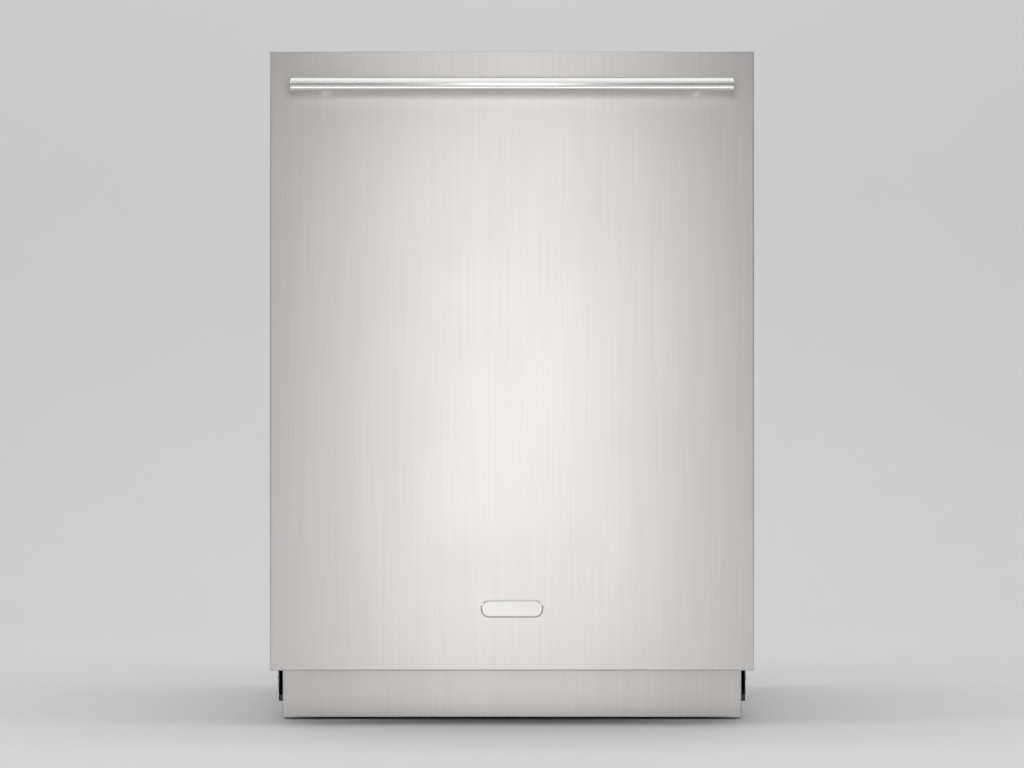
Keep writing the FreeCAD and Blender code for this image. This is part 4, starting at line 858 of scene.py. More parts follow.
def blade(node):
    """A tapered blade with a rounded section, tip to tip along X."""
    low, high = box_of(node)
    centre = (low + high) / 2
    rings = []
    for station in STATIONS + [0] + [-s for s in reversed(STATIONS)]:
        reach = abs(station)
        wide = TIP_WIDE + (HUB_WIDE - TIP_WIDE) * (1 - reach) ** TAPER
        tip = max(0.0, (reach - TIP_START) / TIP_LONG)
        pinch = max(NARROWEST, math.sqrt(max(0.0, 1 - tip ** 2)))
        ring = []
        for step in range(BLADE_SIDES):
            turn = 2 * math.pi * step / BLADE_SIDES
            across = fuller(math.cos(turn), FULL_ACROSS) * wide / 2 * pinch
            rise = fuller(math.sin(turn), FULL_UP) * BLADE_THICK / 2 * (0.4 + 0.6 * pinch)
            ring.append(mm(station * high.x, centre.y + across, centre.z + rise))
        rings.append(ring)
    return lofted("blade", rings)


# %% Tree for jets
HOLE_PART = 0.62


def stepped(add, mesh, rise, scale, chosen=True):
    """Raises the chosen faces and makes their tops smaller: the mesh, and which faces are the tops."""
    raised = add("ExtrudeMesh", {"Mesh": mesh, "Selection": chosen, "Offset Scale": rise})
    top = raised.outputs["Top"]
    return add("ScaleElements", {"Geometry": raised, "Scale": scale, "Selection": top}), top


def jet_row():
    """Collars with a sunk hole, one every step."""
    add, start, end = new_group("jet_row", {**ROW, "Rise": 0.0012, "Sink": -0.0022})
    collar = add("MeshCircle", {"Vertices": 12, "Radius": start["Wire"]}, fill_type="NGON")
    lip, top = stepped(add, collar, start["Rise"], HOLE_PART)
    hole = add("ExtrudeMesh", {"Mesh": lip, "Selection": top, "Offset Scale": start["Sink"]})
    return repeated(add, start, end, hole)


JET_ROW = jet_row()
print("tree:", JET_ROW.name)

# %% Hubs and whole arms
JET_PITCH = 34.0
JET_START, JET_ASIDE, JET_UP = 40, 4, 5.7
JET_RADIUS = 3.2
JETS = {"lower_spray_arm": 5, "middle_spray_arm": 5, "top_spray_arm": 3}


def spray_arm(node, jets):
    """A blade on a turned hub, with a row of jets on each half."""
    low, high = box_of(node)
    centre = (low + high) / 2
    half = (high.z - low.z) / 2
    profile = [(9, -half), (21, -half), (22.6, -half + 0.6), (23, -half + 2), (23, half - 3),
               (22.4, half - 1), (21, half - 0.2), (19, half), (9, half), (9, -half)]
    hub = turned("hub", centre * MM, "z", profile, sides=48)
    rows = [grown(JET_ROW, Count=jets, Wire=JET_RADIUS * MM, Step=mm(side * JET_PITCH, 0, 0),
                  First=mm(side * JET_START, centre.y + side * JET_ASIDE, centre.z + JET_UP),
                  Material=FINISH["grey_plastic"])
            for side in (-1, 1)]
    return show(node + "_blade", node, smoothed(blade(node), 50), smoothed(hub, 40), *rows)


for node, jets in JETS.items():
    spray_arm(node, jets)

# %% [markdown]
# ## Feet, float and filter
# Turned pieces: a levelling foot has a wide pad and a threaded stem, and the float is a domed cup on a
# stem. The filter basket only needs soft edges.

# %% Feet, float and filter basket
THREAD_START, THREAD_PITCH, THREAD_END = 10.0, 2.0, 2.2
CORE, CREST = 5.2, 5.95
THREAD = [(CORE, 0), (CREST, 0.7), (CREST, 1.0), (CORE, 1.7)]
PAD = [(20, 0), (20.8, 0.5), (21, 1.4), (21, 4), (20.4, 5.2), (18.6, 6.2), (13, 8.4), (9, 8.8), (6, 9)]
DOME = [(16.4, 0), (17, 0.8), (17, 15), (16, 18.6), (13.4, 21), (9, 21.8), (4, 22)]


def foot(node):
    """A pad and a threaded stem as tall as the solid."""
    low, high = box_of(node)
    rise = high.z
    x, y, _ = middle(low, high)
    profile = list(PAD)
    along = THREAD_START
    while along + THREAD_END < rise:
        profile += [(radius, along + up) for radius, up in THREAD]
        along += THREAD_PITCH
    profile += [(CORE, rise - 0.6), (4.6, rise)]
    return show(node + "_screw", node, turned(node, mm(x, y, 0), "z", profile, sides=48), angle=28)


for node in ("front_left_foot", "front_right_foot", "rear_left_foot", "rear_right_foot"):
    foot(node)
float_low, float_high = box_of("float_cup")
float_x, float_y, _ = middle(float_low, float_high)
cup_base = float_high.z - DOME[-1][1] - float_low.z
float_profile = [(5.4, 0), (6, 0.8), (6, cup_base)] + [(radius, cup_base + up) for radius, up in DOME]
show("float_dome", "float_cup",
     turned("float_cup", mm(float_x, float_y, float_low.z), "z", float_profile, sides=48), angle=40)
softened("filter_basket", 0.5)

# %% [markdown]
# The plate round the filter basket is punched with small holes over the sump. A tree lays six-sided tiles
# with a hole in each, side by side like a honeycomb, and joins them into one sheet. Two plain rings hide
# the sheet's ragged edges.

# %% Tree for punched tiles
def thickened(mesh, thick):
    """An open sheet with its thickness, away from its outer face."""
    piece = new_object("sheet", mesh)
    wall = piece.modifiers.new("sheet", "SOLIDIFY")
    wall.thickness = thick * MM
    wall.offset = -1.0
    return baked(piece)


def hole_tiles():
    """A six-sided tile with a hole through it on each spot."""
    add, start, end = new_group("hole_tiles", {"Spots": "Geometry", "Radius": 0.002, "Material": "Material"})
    tile = add("MeshCircle", {"Vertices": 6, "Radius": start["Radius"]}, fill_type="NGON")
    rim, inside = stepped(add, tile, 0.0, HOLE_PART)
    holed = add("DeleteGeometry", {"Geometry": rim, "Selection": inside}, domain="FACE")
    copies = add("InstanceOnPoints", {"Points": start["Spots"], "Instance": holed})
    sheet = add("MergeByDistance", {"Geometry": real(add, copies), "Distance": 0.0001})
    return ended(add, start, end, sheet)


HOLE_TILES = hole_tiles()
print("tree:", HOLE_TILES.name)

# %% Punched filter plate
TILE = 2.4
SHEET_TOP = 1.5
SHEET_THICK = 0.8
TILES_FROM, TILES_TO = 45, 61.5
PLATE_LOW, PLATE_HIGH = box_of("filter_plate")
plate_x, plate_y, _ = middle(PLATE_LOW, PLATE_HIGH)
plate_spot = Vector((plate_x, plate_y, PLATE_LOW.z))
plate_edge = (PLATE_HIGH.x - PLATE_LOW.x) / 2
tile_tall = math.sqrt(3) * TILE
tile_spots = [(i * 1.5 * TILE, (j + i % 2 / 2) * tile_tall) for i in range(-18, 19) for j in range(-16, 17)]
tile_spots = [plate_spot + Vector((x, y, SHEET_TOP)) for x, y in tile_spots
              if TILES_FROM < math.hypot(x, y) < TILES_TO]
tiles = grown(HOLE_TILES, tile_spots, Radius=TILE * MM, Material=FINISH["tub_steel"])
OUTER_RING = [(59.5, 0), (plate_edge - 0.3, 0), (plate_edge, 0.3), (plate_edge, 0.9), (plate_edge - 0.8, 1.5),
              (plate_edge - 2.4, 1.9), (plate_edge - 4, 2), (61.5, 2), (60, 1.8), (59.5, 1.3), (59.5, 0)]
INNER_RING = [(40.4, 0), (47.5, 0), (47.5, 1.3), (47, 1.8), (45.5, 2), (41, 2), (40.4, 1.5), (40.4, 0)]
rings = [smoothed(turned("ring", plate_spot * MM, "z", profile, sides=96), 40)
         for profile in (OUTER_RING, INNER_RING)]
show("punched_plate", "filter_plate", thickened(tiles, SHEET_THICK), *rings)
print(len(tile_spots), "holes in the plate")

# %% [markdown]
# ## The dispenser
# Two mouldings sit side by side in the inner door: one with the detergent cup, one with the round seat of
# the rinse cap. Each is a single skin that starts at its outer rim, climbs to its face, crosses it to the
# opening and goes down to the floor. Every ring of that skin is a rounded rectangle, and a circle is one
# whose corners meet.

# %% Mouldings of the dispenser
CASE_LOW, CASE_HIGH = box_of("dispenser_body")
LID_LOW, LID_HIGH = box_of("detergent_lid")
CAP_LOW, CAP_HIGH = box_of("rinse_cap")
FACE_Y = LID_LOW.y - 0.3
CAP_MIDDLE = (CAP_LOW + CAP_HIGH) / 2
CAP_RADIUS = (CAP_HIGH.x - CAP_LOW.x) / 2
SEAT_RADIUS = CAP_RADIUS + 1
SPLIT_X = 16.0
SHARPEST = 0.6
CASE_RIM = [(0, -14), (0, -3.4), (0.4, -2.5), (1.2, -2.1), (5.4, -2.0), (5.9, -1.7), (6.1, -0.7), (6.5, -0.2),
            (7.2, 0)]


def rounded_ring(x_span, z_span, radii, y, steps=10):
    """A rectangle with round corners: radii holds those on the left and on the right."""
    (left, right), (low, high) = x_span, z_span
    ring = []
    for x, z, start, radius in ((right, high, 0, radii[1]), (left, high, 90, radii[0]),
                                (left, low, 180, radii[0]), (right, low, 270, radii[1])):
        middle_x = x - math.copysign(radius, x - sum(x_span) / 2)
        middle_z = z - math.copysign(radius, z - sum(z_span) / 2)
        for step in range(steps + 1):
            turn = math.radians(start + 90 * step / steps)
            ring.append(mm(middle_x + radius * math.cos(turn), y, middle_z + radius * math.sin(turn)))
    return ring


def inset(span, by):
    return span[0] + by, span[1] - by


def tray(name, outer_x, outer_radii, hole_x, hole_z, hole_radius, floor):
    """A moulding with a raised face and one opening down to a floor."""
    lip = [(-1.2, 0), (-0.4, -0.2), (0, -1.0), (0.3, floor + 6), (1.6, floor + 2.2), (4.0, floor + 0.4),
           (7, floor)]
    rings = []
    for x_span, z_span, radii, section in (
            (outer_x, (CASE_LOW.z, CASE_HIGH.z), outer_radii, CASE_RIM),
            (hole_x, hole_z, (hole_radius, hole_radius), lip)):
        rings += [rounded_ring(inset(x_span, by), inset(z_span, by), [max(SHARPEST, r - by) for r in radii],
                               FACE_Y + rise) for by, rise in section]
    return smoothed(lofted(name, rings), 45)


# %% Dispenser, lid and cap
cup_x, cup_z = inset((LID_LOW.x, LID_HIGH.x), 4), inset((LID_LOW.z, LID_HIGH.z), 4)
seat_x = (CAP_MIDDLE.x - CAP_RADIUS - 1, CAP_MIDDLE.x + CAP_RADIUS + 1)
seat_z = (CAP_MIDDLE.z - CAP_RADIUS - 1, CAP_MIDDLE.z + CAP_RADIUS + 1)
show("dispenser_case", "dispenser_body",
     tray("cup_side", (CASE_LOW.x, SPLIT_X), (10, 2), cup_x, cup_z, 12, -28),
     tray("cap_side", (SPLIT_X, CASE_HIGH.x), (2, 10), seat_x, seat_z, SEAT_RADIUS, -8),
     *[slab("rail", (LID_LOW.x, FACE_Y - 2.4, z), (CASE_HIGH.x - 1.2, LID_HIGH.y, z + 4), edge=0.9)
       for z in (LID_HIGH.z + 0.3, LID_LOW.z - 4.3)])
ridge_x = [LID_HIGH.x - 10 - 4.5 * step for step in range(5)]
show("sliding_lid", "detergent_lid",
     slab("lid", LID_LOW, (LID_HIGH.x, LID_HIGH.y - 0.8, LID_HIGH.z), edge=0.7),
     *[slab("ridge", (x - 1.1, LID_LOW.y + 1, LID_LOW.z + 20),
            (x + 1.1, LID_HIGH.y, LID_HIGH.z - 20), edge=0.6)
       for x in ridge_x], angle=45)
CAP_PROFILE = [(22.3, 0), (CAP_RADIUS, 0.7), (CAP_RADIUS, 4.6), (22.6, 5.5), (21.8, 5.9), (19.4, 5.9),
               (18.8, 5.5), (18.2, 4.9), (6, 4.9)]
show("rinse_twist_cap", "rinse_cap",
     turned("cap", mm(CAP_MIDDLE.x, CAP_LOW.y, CAP_MIDDLE.z), "y", CAP_PROFILE),
     slab("grip", (CAP_MIDDLE.x - 15, CAP_LOW.y + 4, CAP_MIDDLE.z - 2.5),
          (CAP_MIDDLE.x + 15, CAP_HIGH.y, CAP_MIDDLE.z + 2.5), edge=1.1), angle=45)
print("dispenser face at", round(FACE_Y, 1), "mm, cap radius", round(CAP_RADIUS, 1))

# %% [markdown]
# ## The door gasket
# The seal round the tub's mouth is an extruded rubber strip: a flat foot with a soft bulb that the door
# presses. It runs up one side, along the top and down the other, with rounded corners, and its section is
# carried along that path square to the way it runs.

# %% Gasket
SEAL_LOW, SEAL_HIGH = box_of("tub_gasket")
SEAL_WIDE = 14.0
SEAL_CORNER = 26.0
CORNER_STEPS = 8
SEAL_HALF = [(6.8, 0), (7, 0.5), (6.4, 1.0), (4.6, 1.2), (3.9, 1.6), (3.5, 2.3), (2.4, 3.2), (0.9, 3.6)]
SEAL_SECTION = [(-wide, depth) for wide, depth in SEAL_HALF] + SEAL_HALF[::-1]


def seal_ring(x, z, turn):
    """The strip's section at one point of the path, which runs at this angle."""
    bend = math.radians(turn)
    across = Vector((-math.sin(bend), 0, math.cos(bend)))
    return [(Vector((x, SEAL_HIGH.y - depth, z)) + across * wide) * MM for wide, depth in SEAL_SECTION]


side_x = SEAL_HIGH.x - SEAL_WIDE / 2
top_z = SEAL_HIGH.z - SEAL_WIDE / 2
path = [(-side_x, SEAL_LOW.z, 90), (-side_x, top_z - SEAL_CORNER, 90)]
for step in range(1, CORNER_STEPS + 1):
    turn = 90 - 90 * step / CORNER_STEPS
    bend = math.radians(turn)
    path.append((-side_x + SEAL_CORNER - SEAL_CORNER * math.sin(bend),
                 top_z - SEAL_CORNER + SEAL_CORNER * math.cos(bend), turn))
path += [(-x, z, -turn) for x, z, turn in reversed(path)]
show("door_seal", "tub_gasket", lofted("tub_gasket", [seal_ring(*spot) for spot in path]), angle=50)

# %% [markdown]
# ## Pressed sheets
# Large flat sheets are stiffened by shapes pressed into them: long beads in the casing, round dimples
# where its screws sit, and a wide sunk field in the door's inner face. Each sheet is a grid of points,
# and a rule says how deep each point is pushed. The grid's lines are wide apart on the flat and close
# together over every pressed wall, and Solidify gives the sheet its thickness.

# %% Grid lines
GRID = 18.0
CLOSEST = 0.4
WALL_STEPS = 6


def smooth_step(value):
    value = min(1.0, max(0.0, value))
    return value * value * (3 - 2 * value)


def grid_lines(low, high, walls, exact=()):
    """Lines from low to high, close together over each wall, with some at exact places."""
    lines = [low, high, *exact]
    for begin, end in walls:
        lines += [begin + (end - begin) * step / WALL_STEPS for step in range(WALL_STEPS + 1)]
    count = round((high - low) / GRID)
    for line in [low + (high - low) * step / count for step in range(1, count)]:
        if min(abs(line - other) for other in lines) > GRID / 3:
            lines.append(line)
    kept = [low]
    for line in sorted(lines):
        if line - kept[-1] > CLOSEST and line <= high:
            kept.append(line)
    kept[-1] = high
    return kept


# %% Pressed sheet
def without_loose_points(shell):
    loose = [corner for corner in shell.verts if not corner.link_faces]
    bmesh.ops.delete(shell, geom=loose, context="VERTS")


def pressed_sheet(name, node, to_space, u_lines, v_lines, depth, outer_way, thick, cut=None):
    """A sheet pushed in by a rule: to_space turns (u, v, depth) into a place, and cut names the cells that
    are left out."""
    points = [mm(*to_space(u, v, depth(u, v))) for v in v_lines for u in u_lines]
    wide = len(u_lines)
    faces = []
    for row in range(len(v_lines) - 1):
        for column in range(wide - 1):
            middle_u = (u_lines[column] + u_lines[column + 1]) / 2
            middle_v = (v_lines[row] + v_lines[row + 1]) / 2
            corner = row * wide + column
            if not (cut and cut(middle_u, middle_v)):
                faces.append((corner, corner + 1, corner + wide + 1, corner + wide))
    mesh = reworked(name, [new_mesh(name, points, faces)], without_loose_points)
    if mesh.polygons[0].normal.dot(Vector(outer_way)) < 0:
        mesh.flip_normals()
    return show(name, node, thickened(mesh, thick), angle=50)


# %% Beads and dimples
BEAD_DEEP = 5.5
BEAD_HALF = 17.0
BEAD_WALL = 8.0
BEAD_FLAT = BEAD_HALF - BEAD_WALL
DIMPLE_DEEP = 3.4
DIMPLE_HALF = 13.0
DIMPLE_WALL = 5.0
CASING_THICK = 1.0
BEAD_LOW, BEAD_HIGH = 240, 740
BEAD_ENDS = [(BEAD_LOW - BEAD_HALF, BEAD_LOW), (BEAD_HIGH, BEAD_HIGH + BEAD_HALF)]
SIDE_BEADS = (-110, 60, 230)
REAR_BEADS = (-190, 0, 190)
REAR_LOW, REAR_HIGH = box_of("rear_panel")
SIDE_LOW, SIDE_HIGH = box_of("right_side_panel")
TOE_Y = box_of("base_frame")[0].y
TOE_Z = box_of("tub")[0].z
REAR_SCREWS = [(x, z) for z in (172, 816) for x in (-276, -95, 95, 276)]
REAR_SCREWS += [(x, z) for x in (-276, 276) for z in (380, 600)]


def bead_depth(beads, dimples=()):
    """The rule of a casing sheet: beads that run upwards with round ends, and round dimples."""
    def depth(u, v):
        deep = 0.0
        for middle_u in beads:
            away = math.hypot(u - middle_u, v - min(max(v, BEAD_LOW), BEAD_HIGH))
            deep = max(deep, BEAD_DEEP * smooth_step((BEAD_HALF - away) / BEAD_WALL))
        for spot_u, spot_v in dimples:
            away = math.hypot(u - spot_u, v - spot_v)
            deep = max(deep, DIMPLE_DEEP * smooth_step((DIMPLE_HALF - away) / DIMPLE_WALL))
        return deep
    return depth


def bead_walls(beads):
    """Where the lines lie close: over both walls of each bead, and over its flat for its round ends."""
    walls = [(b - BEAD_FLAT, b + BEAD_FLAT) for b in beads]
    return walls + [(b + side * BEAD_FLAT, b + side * BEAD_HALF) for b in beads for side in (-1, 1)]


def dimple_walls(spots):
    """Both halves of every dimple along one direction."""
    return [wall for s in sorted(set(spots)) for wall in ((s - DIMPLE_HALF, s), (s, s + DIMPLE_HALF))]


# %% Side and rear sheets
side_u = grid_lines(SIDE_LOW.y, SIDE_HIGH.y, bead_walls(SIDE_BEADS), (TOE_Y,))
side_v = grid_lines(SIDE_LOW.z, SIDE_HIGH.z, BEAD_ENDS, (TOE_Z,))
for side, name in ((-1, "left"), (1, "right")):
    pressed_sheet(name + "_casing", name + "_side_panel",
                  lambda u, v, deep, way=side: (way * (SIDE_HIGH.x - deep), u, v), side_u, side_v,
                  bead_depth(SIDE_BEADS), (side, 0, 0), CASING_THICK, lambda u, v: u < TOE_Y and v < TOE_Z)
rear_u = grid_lines(REAR_LOW.x, REAR_HIGH.x, bead_walls(REAR_BEADS) + dimple_walls(x for x, z in REAR_SCREWS))
rear_v = grid_lines(REAR_LOW.z, REAR_HIGH.z, BEAD_ENDS + dimple_walls(z for x, z in REAR_SCREWS))
pressed_sheet("rear_casing", "rear_panel", lambda u, v, deep: (u, REAR_HIGH.y - deep, v), rear_u, rear_v,
              bead_depth(REAR_BEADS, REAR_SCREWS), (0, 1, 0), CASING_THICK)

# %% [markdown]
# The door's inner face is one pressed sheet of the tub's steel. Its middle is sunk so that the lower rack
# clears it, and a level patch is left round the dispenser, with the hole that the dispenser's rim covers.

# %% Sunk field and level patch
LINER_LOW, LINER_HIGH = box_of("door_liner")
FIELD_DEEP = 5.0
FIELD_WALL = 10.0
FIELD = (-238, 238, 158, 752)
FIELD_CORNER = 34
PATCH_CORNER = 16
PATCH_MARGIN = 14
COVERED = 8.0


def round_case(margin):
    """A rectangle round the dispenser's case, or inside it where the margin is less than nothing."""
    return CASE_LOW.x - margin, CASE_HIGH.x + margin, CASE_LOW.z - margin, CASE_HIGH.z + margin


PATCH = round_case(PATCH_MARGIN)
HOLE = round_case(-COVERED)


def beyond(u, v, area, corner):
    """How far a point lies outside a rectangle with round corners: less than nothing inside it."""
    away_u = max(area[0] + corner - u, u - area[1] + corner)
    away_v = max(area[2] + corner - v, v - area[3] + corner)
    return math.hypot(max(away_u, 0), max(away_v, 0)) + min(max(away_u, away_v), 0) - corner


def field_depth(u, v):
    """The rule of the inner face: a sunk field, level again round the dispenser."""
    sunk = smooth_step(-beyond(u, v, FIELD, FIELD_CORNER) / FIELD_WALL)
    level = smooth_step(1 - beyond(u, v, PATCH, PATCH_CORNER) / FIELD_WALL)
    return FIELD_DEEP * min(sunk, 1 - level)


def edge_walls(field_span, patch_span):
    """Where the lines lie close: over the walls and round corners at both ends of the field and patch."""
    walls = []
    for way, field_end, patch_end in zip((1, -1), field_span, patch_span):
        wall_end = field_end + way * FIELD_WALL
        walls += [(field_end, wall_end), (wall_end, field_end + way * FIELD_CORNER),
                  (patch_end - way * FIELD_WALL, patch_end), (patch_end, patch_end + way * PATCH_CORNER)]
    return walls


# %% Inner face of the door
liner_u = grid_lines(LINER_LOW.x, LINER_HIGH.x, edge_walls(FIELD[:2], PATCH[:2]), HOLE[:2])
liner_v = grid_lines(LINER_LOW.z, LINER_HIGH.z, edge_walls(FIELD[2:], PATCH[2:]), HOLE[2:])
pressed_sheet("door_inner_face", "door_liner", lambda u, v, deep: (u, LINER_HIGH.y - deep, v),
              liner_u, liner_v, field_depth, (0, 1, 0), LINER_HIGH.y - LINER_LOW.y,
              lambda u, v: HOLE[0] < u < HOLE[1] and HOLE[2] < v < HOLE[3])

# %% [markdown]
# ## Screws
# Hexagon-headed screws hold the sheets and the hinge arms. One tree puts the same head on every spot that
# it is given and turns it to face the way it is told: a washer, a six-sided head with a chamfer, and a
# dish in its top.

# %% Tree for screw heads
DISH_WIDE, DISH_DEEP = 0.7, -0.06
HEAD_STEPS = ((20, 1.0, 0.94, 0.14), (6, 0.68, 0.68, 0.22), (6, 0.68, 0.58, 0.08))


def screw_heads():
    """A head one unit in radius on each spot, scaled to the radius that is asked for."""
    add, start, end = new_group("screw_heads", {"Spots": "Geometry", "Way": "Vector", "Radius": 0.0045,
                                                "Material": "Material"})
    head = add("JoinGeometry")
    rise = 0.0
    for sides, wide, narrow, tall in HEAD_STEPS:
        cone = add("MeshCone", {"Vertices": sides, "Radius Bottom": wide, "Radius Top": narrow,
                                "Depth": tall})
        inner, top = stepped(add, cone, 0.0, DISH_WIDE, cone.outputs["Top"])
        dish = add("ExtrudeMesh", {"Mesh": inner, "Selection": top, "Offset Scale": DISH_DEEP})
        feed(head, {0: add("Transform", {"Geometry": dish, "Translation": (0, 0, rise)})})
        rise += tall
    turn = add("AlignRotationToVector", {"Vector": start["Way"]}, axis="Z")
    size = add("CombineXYZ", {axis: start["Radius"] for axis in "XYZ"})
    copies = add("InstanceOnPoints", {"Points": start["Spots"], "Instance": head, "Rotation": turn,
                                      "Scale": size})
    return ended(add, start, end, real(add, copies))


SCREW_HEADS = screw_heads()
print("tree:", SCREW_HEADS.name)

# %% Screws in the sheets and hinge arms
TAB_HIGH = box_of("countertop_brackets")[1]
ARM_LOW, ARM_HIGH = box_of("hinge_arms")


def screws(spots, way, radius):
    return grown(SCREW_HEADS, spots, Way=Vector(way), Radius=radius * MM, Material=FINISH["hinge_steel"])


case_screws = [screws([(x, REAR_HIGH.y - DIMPLE_DEEP, z) for x, z in REAR_SCREWS], (0, 1, 0), radius=4.8)]
arm_screws = []
for side in (-1, 1):
    edge = [(side * SIDE_HIGH.x, -190, z) for z in (190, 400, 610, 815)]
    foot_row = [(side * SIDE_HIGH.x, y, 50) for y in (-130, 90, 310)]
    case_screws.append(screws(edge + foot_row, (side, 0, 0), radius=4.6))
    tabs = [(side * x, TAB_HIGH.y - 9, TAB_HIGH.z) for x in (201, 219)]
    case_screws.append(screws(tabs, (0, 0, 1), radius=4.2))
    arm = [(side * ARM_HIGH.x, (ARM_LOW.y + ARM_HIGH.y) / 2, z) for z in (205, 250)]
    arm_screws.append(screws(arm, (side, 0, 0), radius=3.6))
for name, body, heads in (("case_screws", "cabinet", case_screws), ("arm_screws", "door", arm_screws)):
    piece = new_object(name, reworked(name, heads))
    piece.data.materials.append(FINISH["hinge_steel"])
    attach(piece, body)
    print(name, len(piece.data.polygons), "faces")

# %% [markdown]
# ## The sound mat
# A thick felt mat wraps the tub: up one side, over the top and down the other, with a second mat behind.
# It is soft, so its bends are round and its face swells between rows of stitches. The mat is a skin over
# outlines that go round the tub, one every few millimetres from front to back, and a small wave in each
# outline makes the quilting. The edges of both mats are rolled in.

# %% Quilting
MAT_LOW, MAT_HIGH = box_of("sound_blanket")
MAT_THICK = 11.0
MAT_BEND = 16.0
MAT_STEP = 9.0
MAT_BACK = MAT_HIGH.y - MAT_THICK
RISE_STEPS, OVER_STEPS = 70, 30
QUILT = 82.0
QUILT_DEEP = 4.2
ROLLED = 0.36
RIM_FULL = 0.15
PLUMP = 1.6


def fullness(step, steps):
    """How full the mat is at a step: 1 inside, and less at both rims."""
    return min(1.0, RIM_FULL + min(step, steps - step) / 2)


def rolled(full):
    """How far a rim is rolled in."""
    return MAT_THICK * ROLLED * (1 - full)


def pulled(along, across, full):
    """How deep the stitch rows and the rolled rim pull the face in at one place."""
    rows = abs(math.sin(math.pi * along / QUILT))
    columns = abs(math.sin(math.pi * across / QUILT))
    stitched = QUILT_DEEP * (1 - min(1.0, PLUMP * rows) * min(1.0, PLUMP * columns))
    return stitched * full + rolled(full)


# %% Mat over the sides and the top
def arch_path():
    """Points and outward directions of the mat's outer face, round the tub."""
    x, top = MAT_HIGH.x - MAT_BEND, MAT_HIGH.z - MAT_BEND
    rise = [(-MAT_HIGH.x, MAT_LOW.z + (top - MAT_LOW.z) * i / RISE_STEPS, 180.0) for i in range(RISE_STEPS)]
    bend = [(-x + MAT_BEND * math.cos(math.radians(a)), top + MAT_BEND * math.sin(math.radians(a)), a)
            for a in (180, 165, 150, 135, 120, 105)]
    over = [(-x + x * i / OVER_STEPS, MAT_HIGH.z, 90.0) for i in range(OVER_STEPS + 1)]
    half = rise + bend + over
    return half + [(-px, pz, 180 - a) for px, pz, a in reversed(half[:-1])]


def mat_ring(path, y, full):
    """One closed outline of the mat: its outer face, then its inner face back again."""
    outer, inner, run = [], [], 0.0
    for i, (x, z, angle) in enumerate(path):
        if i:
            run += math.hypot(x - path[i - 1][0], z - path[i - 1][1])
        way = Vector((math.cos(math.radians(angle)), 0, math.sin(math.radians(angle))))
        outer.append((Vector((x, y, z)) - way * pulled(run, y - MAT_LOW.y, full)) * MM)
        inner.append((Vector((x, y, z)) - way * (MAT_THICK - rolled(full))) * MM)
    return outer + inner[::-1]


def wrapped_mat():
    """The mat over both sides and the top."""
    path = arch_path()
    rows = round((MAT_BACK - MAT_LOW.y) / MAT_STEP)
    return lofted("wrapped_mat", [mat_ring(path, MAT_LOW.y + (MAT_BACK - MAT_LOW.y) * row / rows,
                                           fullness(row, rows)) for row in range(rows + 1)])


# %% Mats behind and in the door
def back_mat():
    """The flat mat behind the tub, quilted in the same squares."""
    wide, tall = 2 * MAT_HIGH.x, MAT_HIGH.z - MAT_LOW.z
    columns, levels = round(wide / MAT_STEP), round(tall / MAT_STEP)
    rings = []
    for level in range(levels + 1):
        z = MAT_LOW.z + tall * level / levels
        face, back = [], []
        for column in range(columns + 1):
            full = min(fullness(level, levels), fullness(column, columns))
            x = -MAT_HIGH.x + wide * column / columns
            face.append(mm(x, MAT_HIGH.y - pulled(x + MAT_HIGH.x, z - MAT_LOW.z, full), z))
            back.append(mm(x, MAT_BACK + rolled(full), z))
        rings.append(face + back[::-1])
    return lofted("back_mat", rings)


sound_mat = show("sound_mat", "sound_blanket", wrapped_mat(), back_mat(), angle=60)
door_mat_mesh = copied("door_insulation")
door_mat_face = (LINER_LOW.y - FIELD_DEEP - 0.4) * MM
for corner in door_mat_mesh.vertices:
    corner.co.y = min(corner.co.y, door_mat_face)
door_mat = softened("door_insulation", 4.0, segments=4, mesh=door_mat_mesh)

# %% [markdown]
# ## The cutlery basket
# The basket is a moulded lattice: thin ribs both ways, a solid band at the rim and the foot, and eight
# cells. One tree makes a panel of ribs from its size and the number of openings, and each wall is one
# panel turned into place.

# %% Tree for a panel of ribs
def rib_panel():
    """Upright and level ribs that fill a rectangle, turned and moved into place."""
    add, start, end = new_group("rib_panel", {
        "Width": 0.1, "Height": 0.1, "Columns": 8, "Rows": 8, "Rib": 0.002, "Place": "Vector",
        "Turn": "Vector", "Material": "Material"})
    both = add("JoinGeometry")
    for size, number, other, way in (("Width", "Columns", "Height", 0), ("Height", "Rows", "Width", 1)):
        first = add("Math", {0: start[size], 1: -0.5}, operation="MULTIPLY")
        step = add("Math", {0: start[size], 1: start[number]}, operation="DIVIDE")
        row = add("MeshLine", {"Count": summed(add, start[number], 1.0),
                               "Start Location": add("CombineXYZ", {way: first}),
                               "Offset": add("CombineXYZ", {way: step})})
        shape = add("CombineXYZ", {way: start["Rib"], 1 - way: start[other], 2: start["Rib"]})
        rib = add("MeshCube", {"Size": shape})
        feed(both, {0: add("InstanceOnPoints", {"Points": row, "Instance": rib})})
    placed = add("Transform", {"Geometry": both, "Translation": start["Place"], "Rotation": start["Turn"]})
    return ended(add, start, end, real(add, placed))


RIB_PANEL = rib_panel()
print("tree:", RIB_PANEL.name)

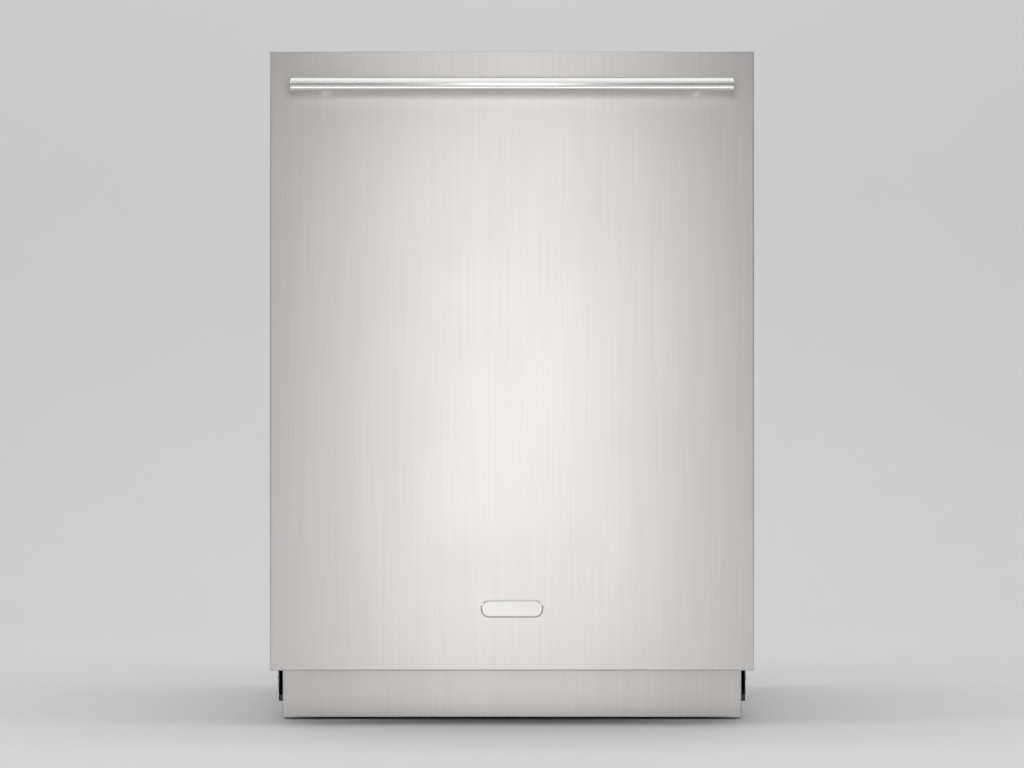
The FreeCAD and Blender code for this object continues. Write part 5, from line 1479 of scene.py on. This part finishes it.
# %% Basket walls, bands and handle
BASKET_LOW, BASKET_HIGH = box_of("cutlery_basket")
BASKET_TALL = 120
BASKET_RIM = BASKET_LOW.z + BASKET_TALL
BASKET_WALL = 2.0
HALF_WALL = BASKET_WALL / 2
BANDS = ((BASKET_LOW.z + 0.6, BASKET_LOW.z + 9), (BASKET_RIM - 9, BASKET_RIM))
CELL_ROWS = 4
RIB = 1.8
RIB_PITCH = 9.5
QUARTER = math.radians(90)
UPRIGHT_LONG = 13
basket_wide = BASKET_HIGH.x - BASKET_LOW.x
basket_long = BASKET_HIGH.y - BASKET_LOW.y
basket_mid = Vector(middle(BASKET_LOW, (BASKET_HIGH.x, BASKET_HIGH.y, BASKET_RIM)))


def ribs(wide, tall, place, turn):
    return grown(RIB_PANEL, Width=(wide - BASKET_WALL) * MM, Height=(tall - BASKET_WALL) * MM, Rib=RIB * MM,
                 Columns=round(wide / RIB_PITCH), Rows=round(tall / RIB_PITCH), Place=mm(*place), Turn=turn,
                 Material=FINISH["grey_plastic"])


walls = [(basket_long, (x, basket_mid.y, basket_mid.z), (QUARTER, 0, QUARTER),
          (x - HALF_WALL, BASKET_LOW.y), (x + HALF_WALL, BASKET_HIGH.y))
         for x in (BASKET_LOW.x + HALF_WALL, basket_mid.x, BASKET_HIGH.x - HALF_WALL)]
for step in range(CELL_ROWS + 1):
    y = BASKET_LOW.y + HALF_WALL + (basket_long - BASKET_WALL) * step / CELL_ROWS
    walls.append((basket_wide, (basket_mid.x, y, basket_mid.z), (QUARTER, 0, 0),
                  (BASKET_LOW.x, y - HALF_WALL), (BASKET_HIGH.x, y + HALF_WALL)))
basket = [ribs(basket_wide, basket_long, (basket_mid.x, basket_mid.y, BASKET_LOW.z + 1.4), (0, 0, 0))]
for wide, place, turn, near, far in walls:
    basket.append(ribs(wide, BASKET_TALL, place, turn))
    basket += [slab("band", (*near, low), (*far, high), edge=0.6) for low, high in BANDS]
grip_low, grip_high = basket_mid.y - basket_long / 4, basket_mid.y + basket_long / 4
for low, high in ((grip_low, grip_low + UPRIGHT_LONG), (grip_high - UPRIGHT_LONG, grip_high)):
    basket.append(slab("upright", (basket_mid.x - 2, low, BASKET_RIM - 12),
                       (basket_mid.x + 2, high, BASKET_HIGH.z - 1), edge=1.4))
basket.append(slab("grip", (basket_mid.x - 5, grip_low, BASKET_HIGH.z - 13),
                   (basket_mid.x + 5, grip_high, BASKET_HIGH.z), edge=3.6, segments=4))
show("cutlery_cells", "cutlery_basket", *basket, angle=40)
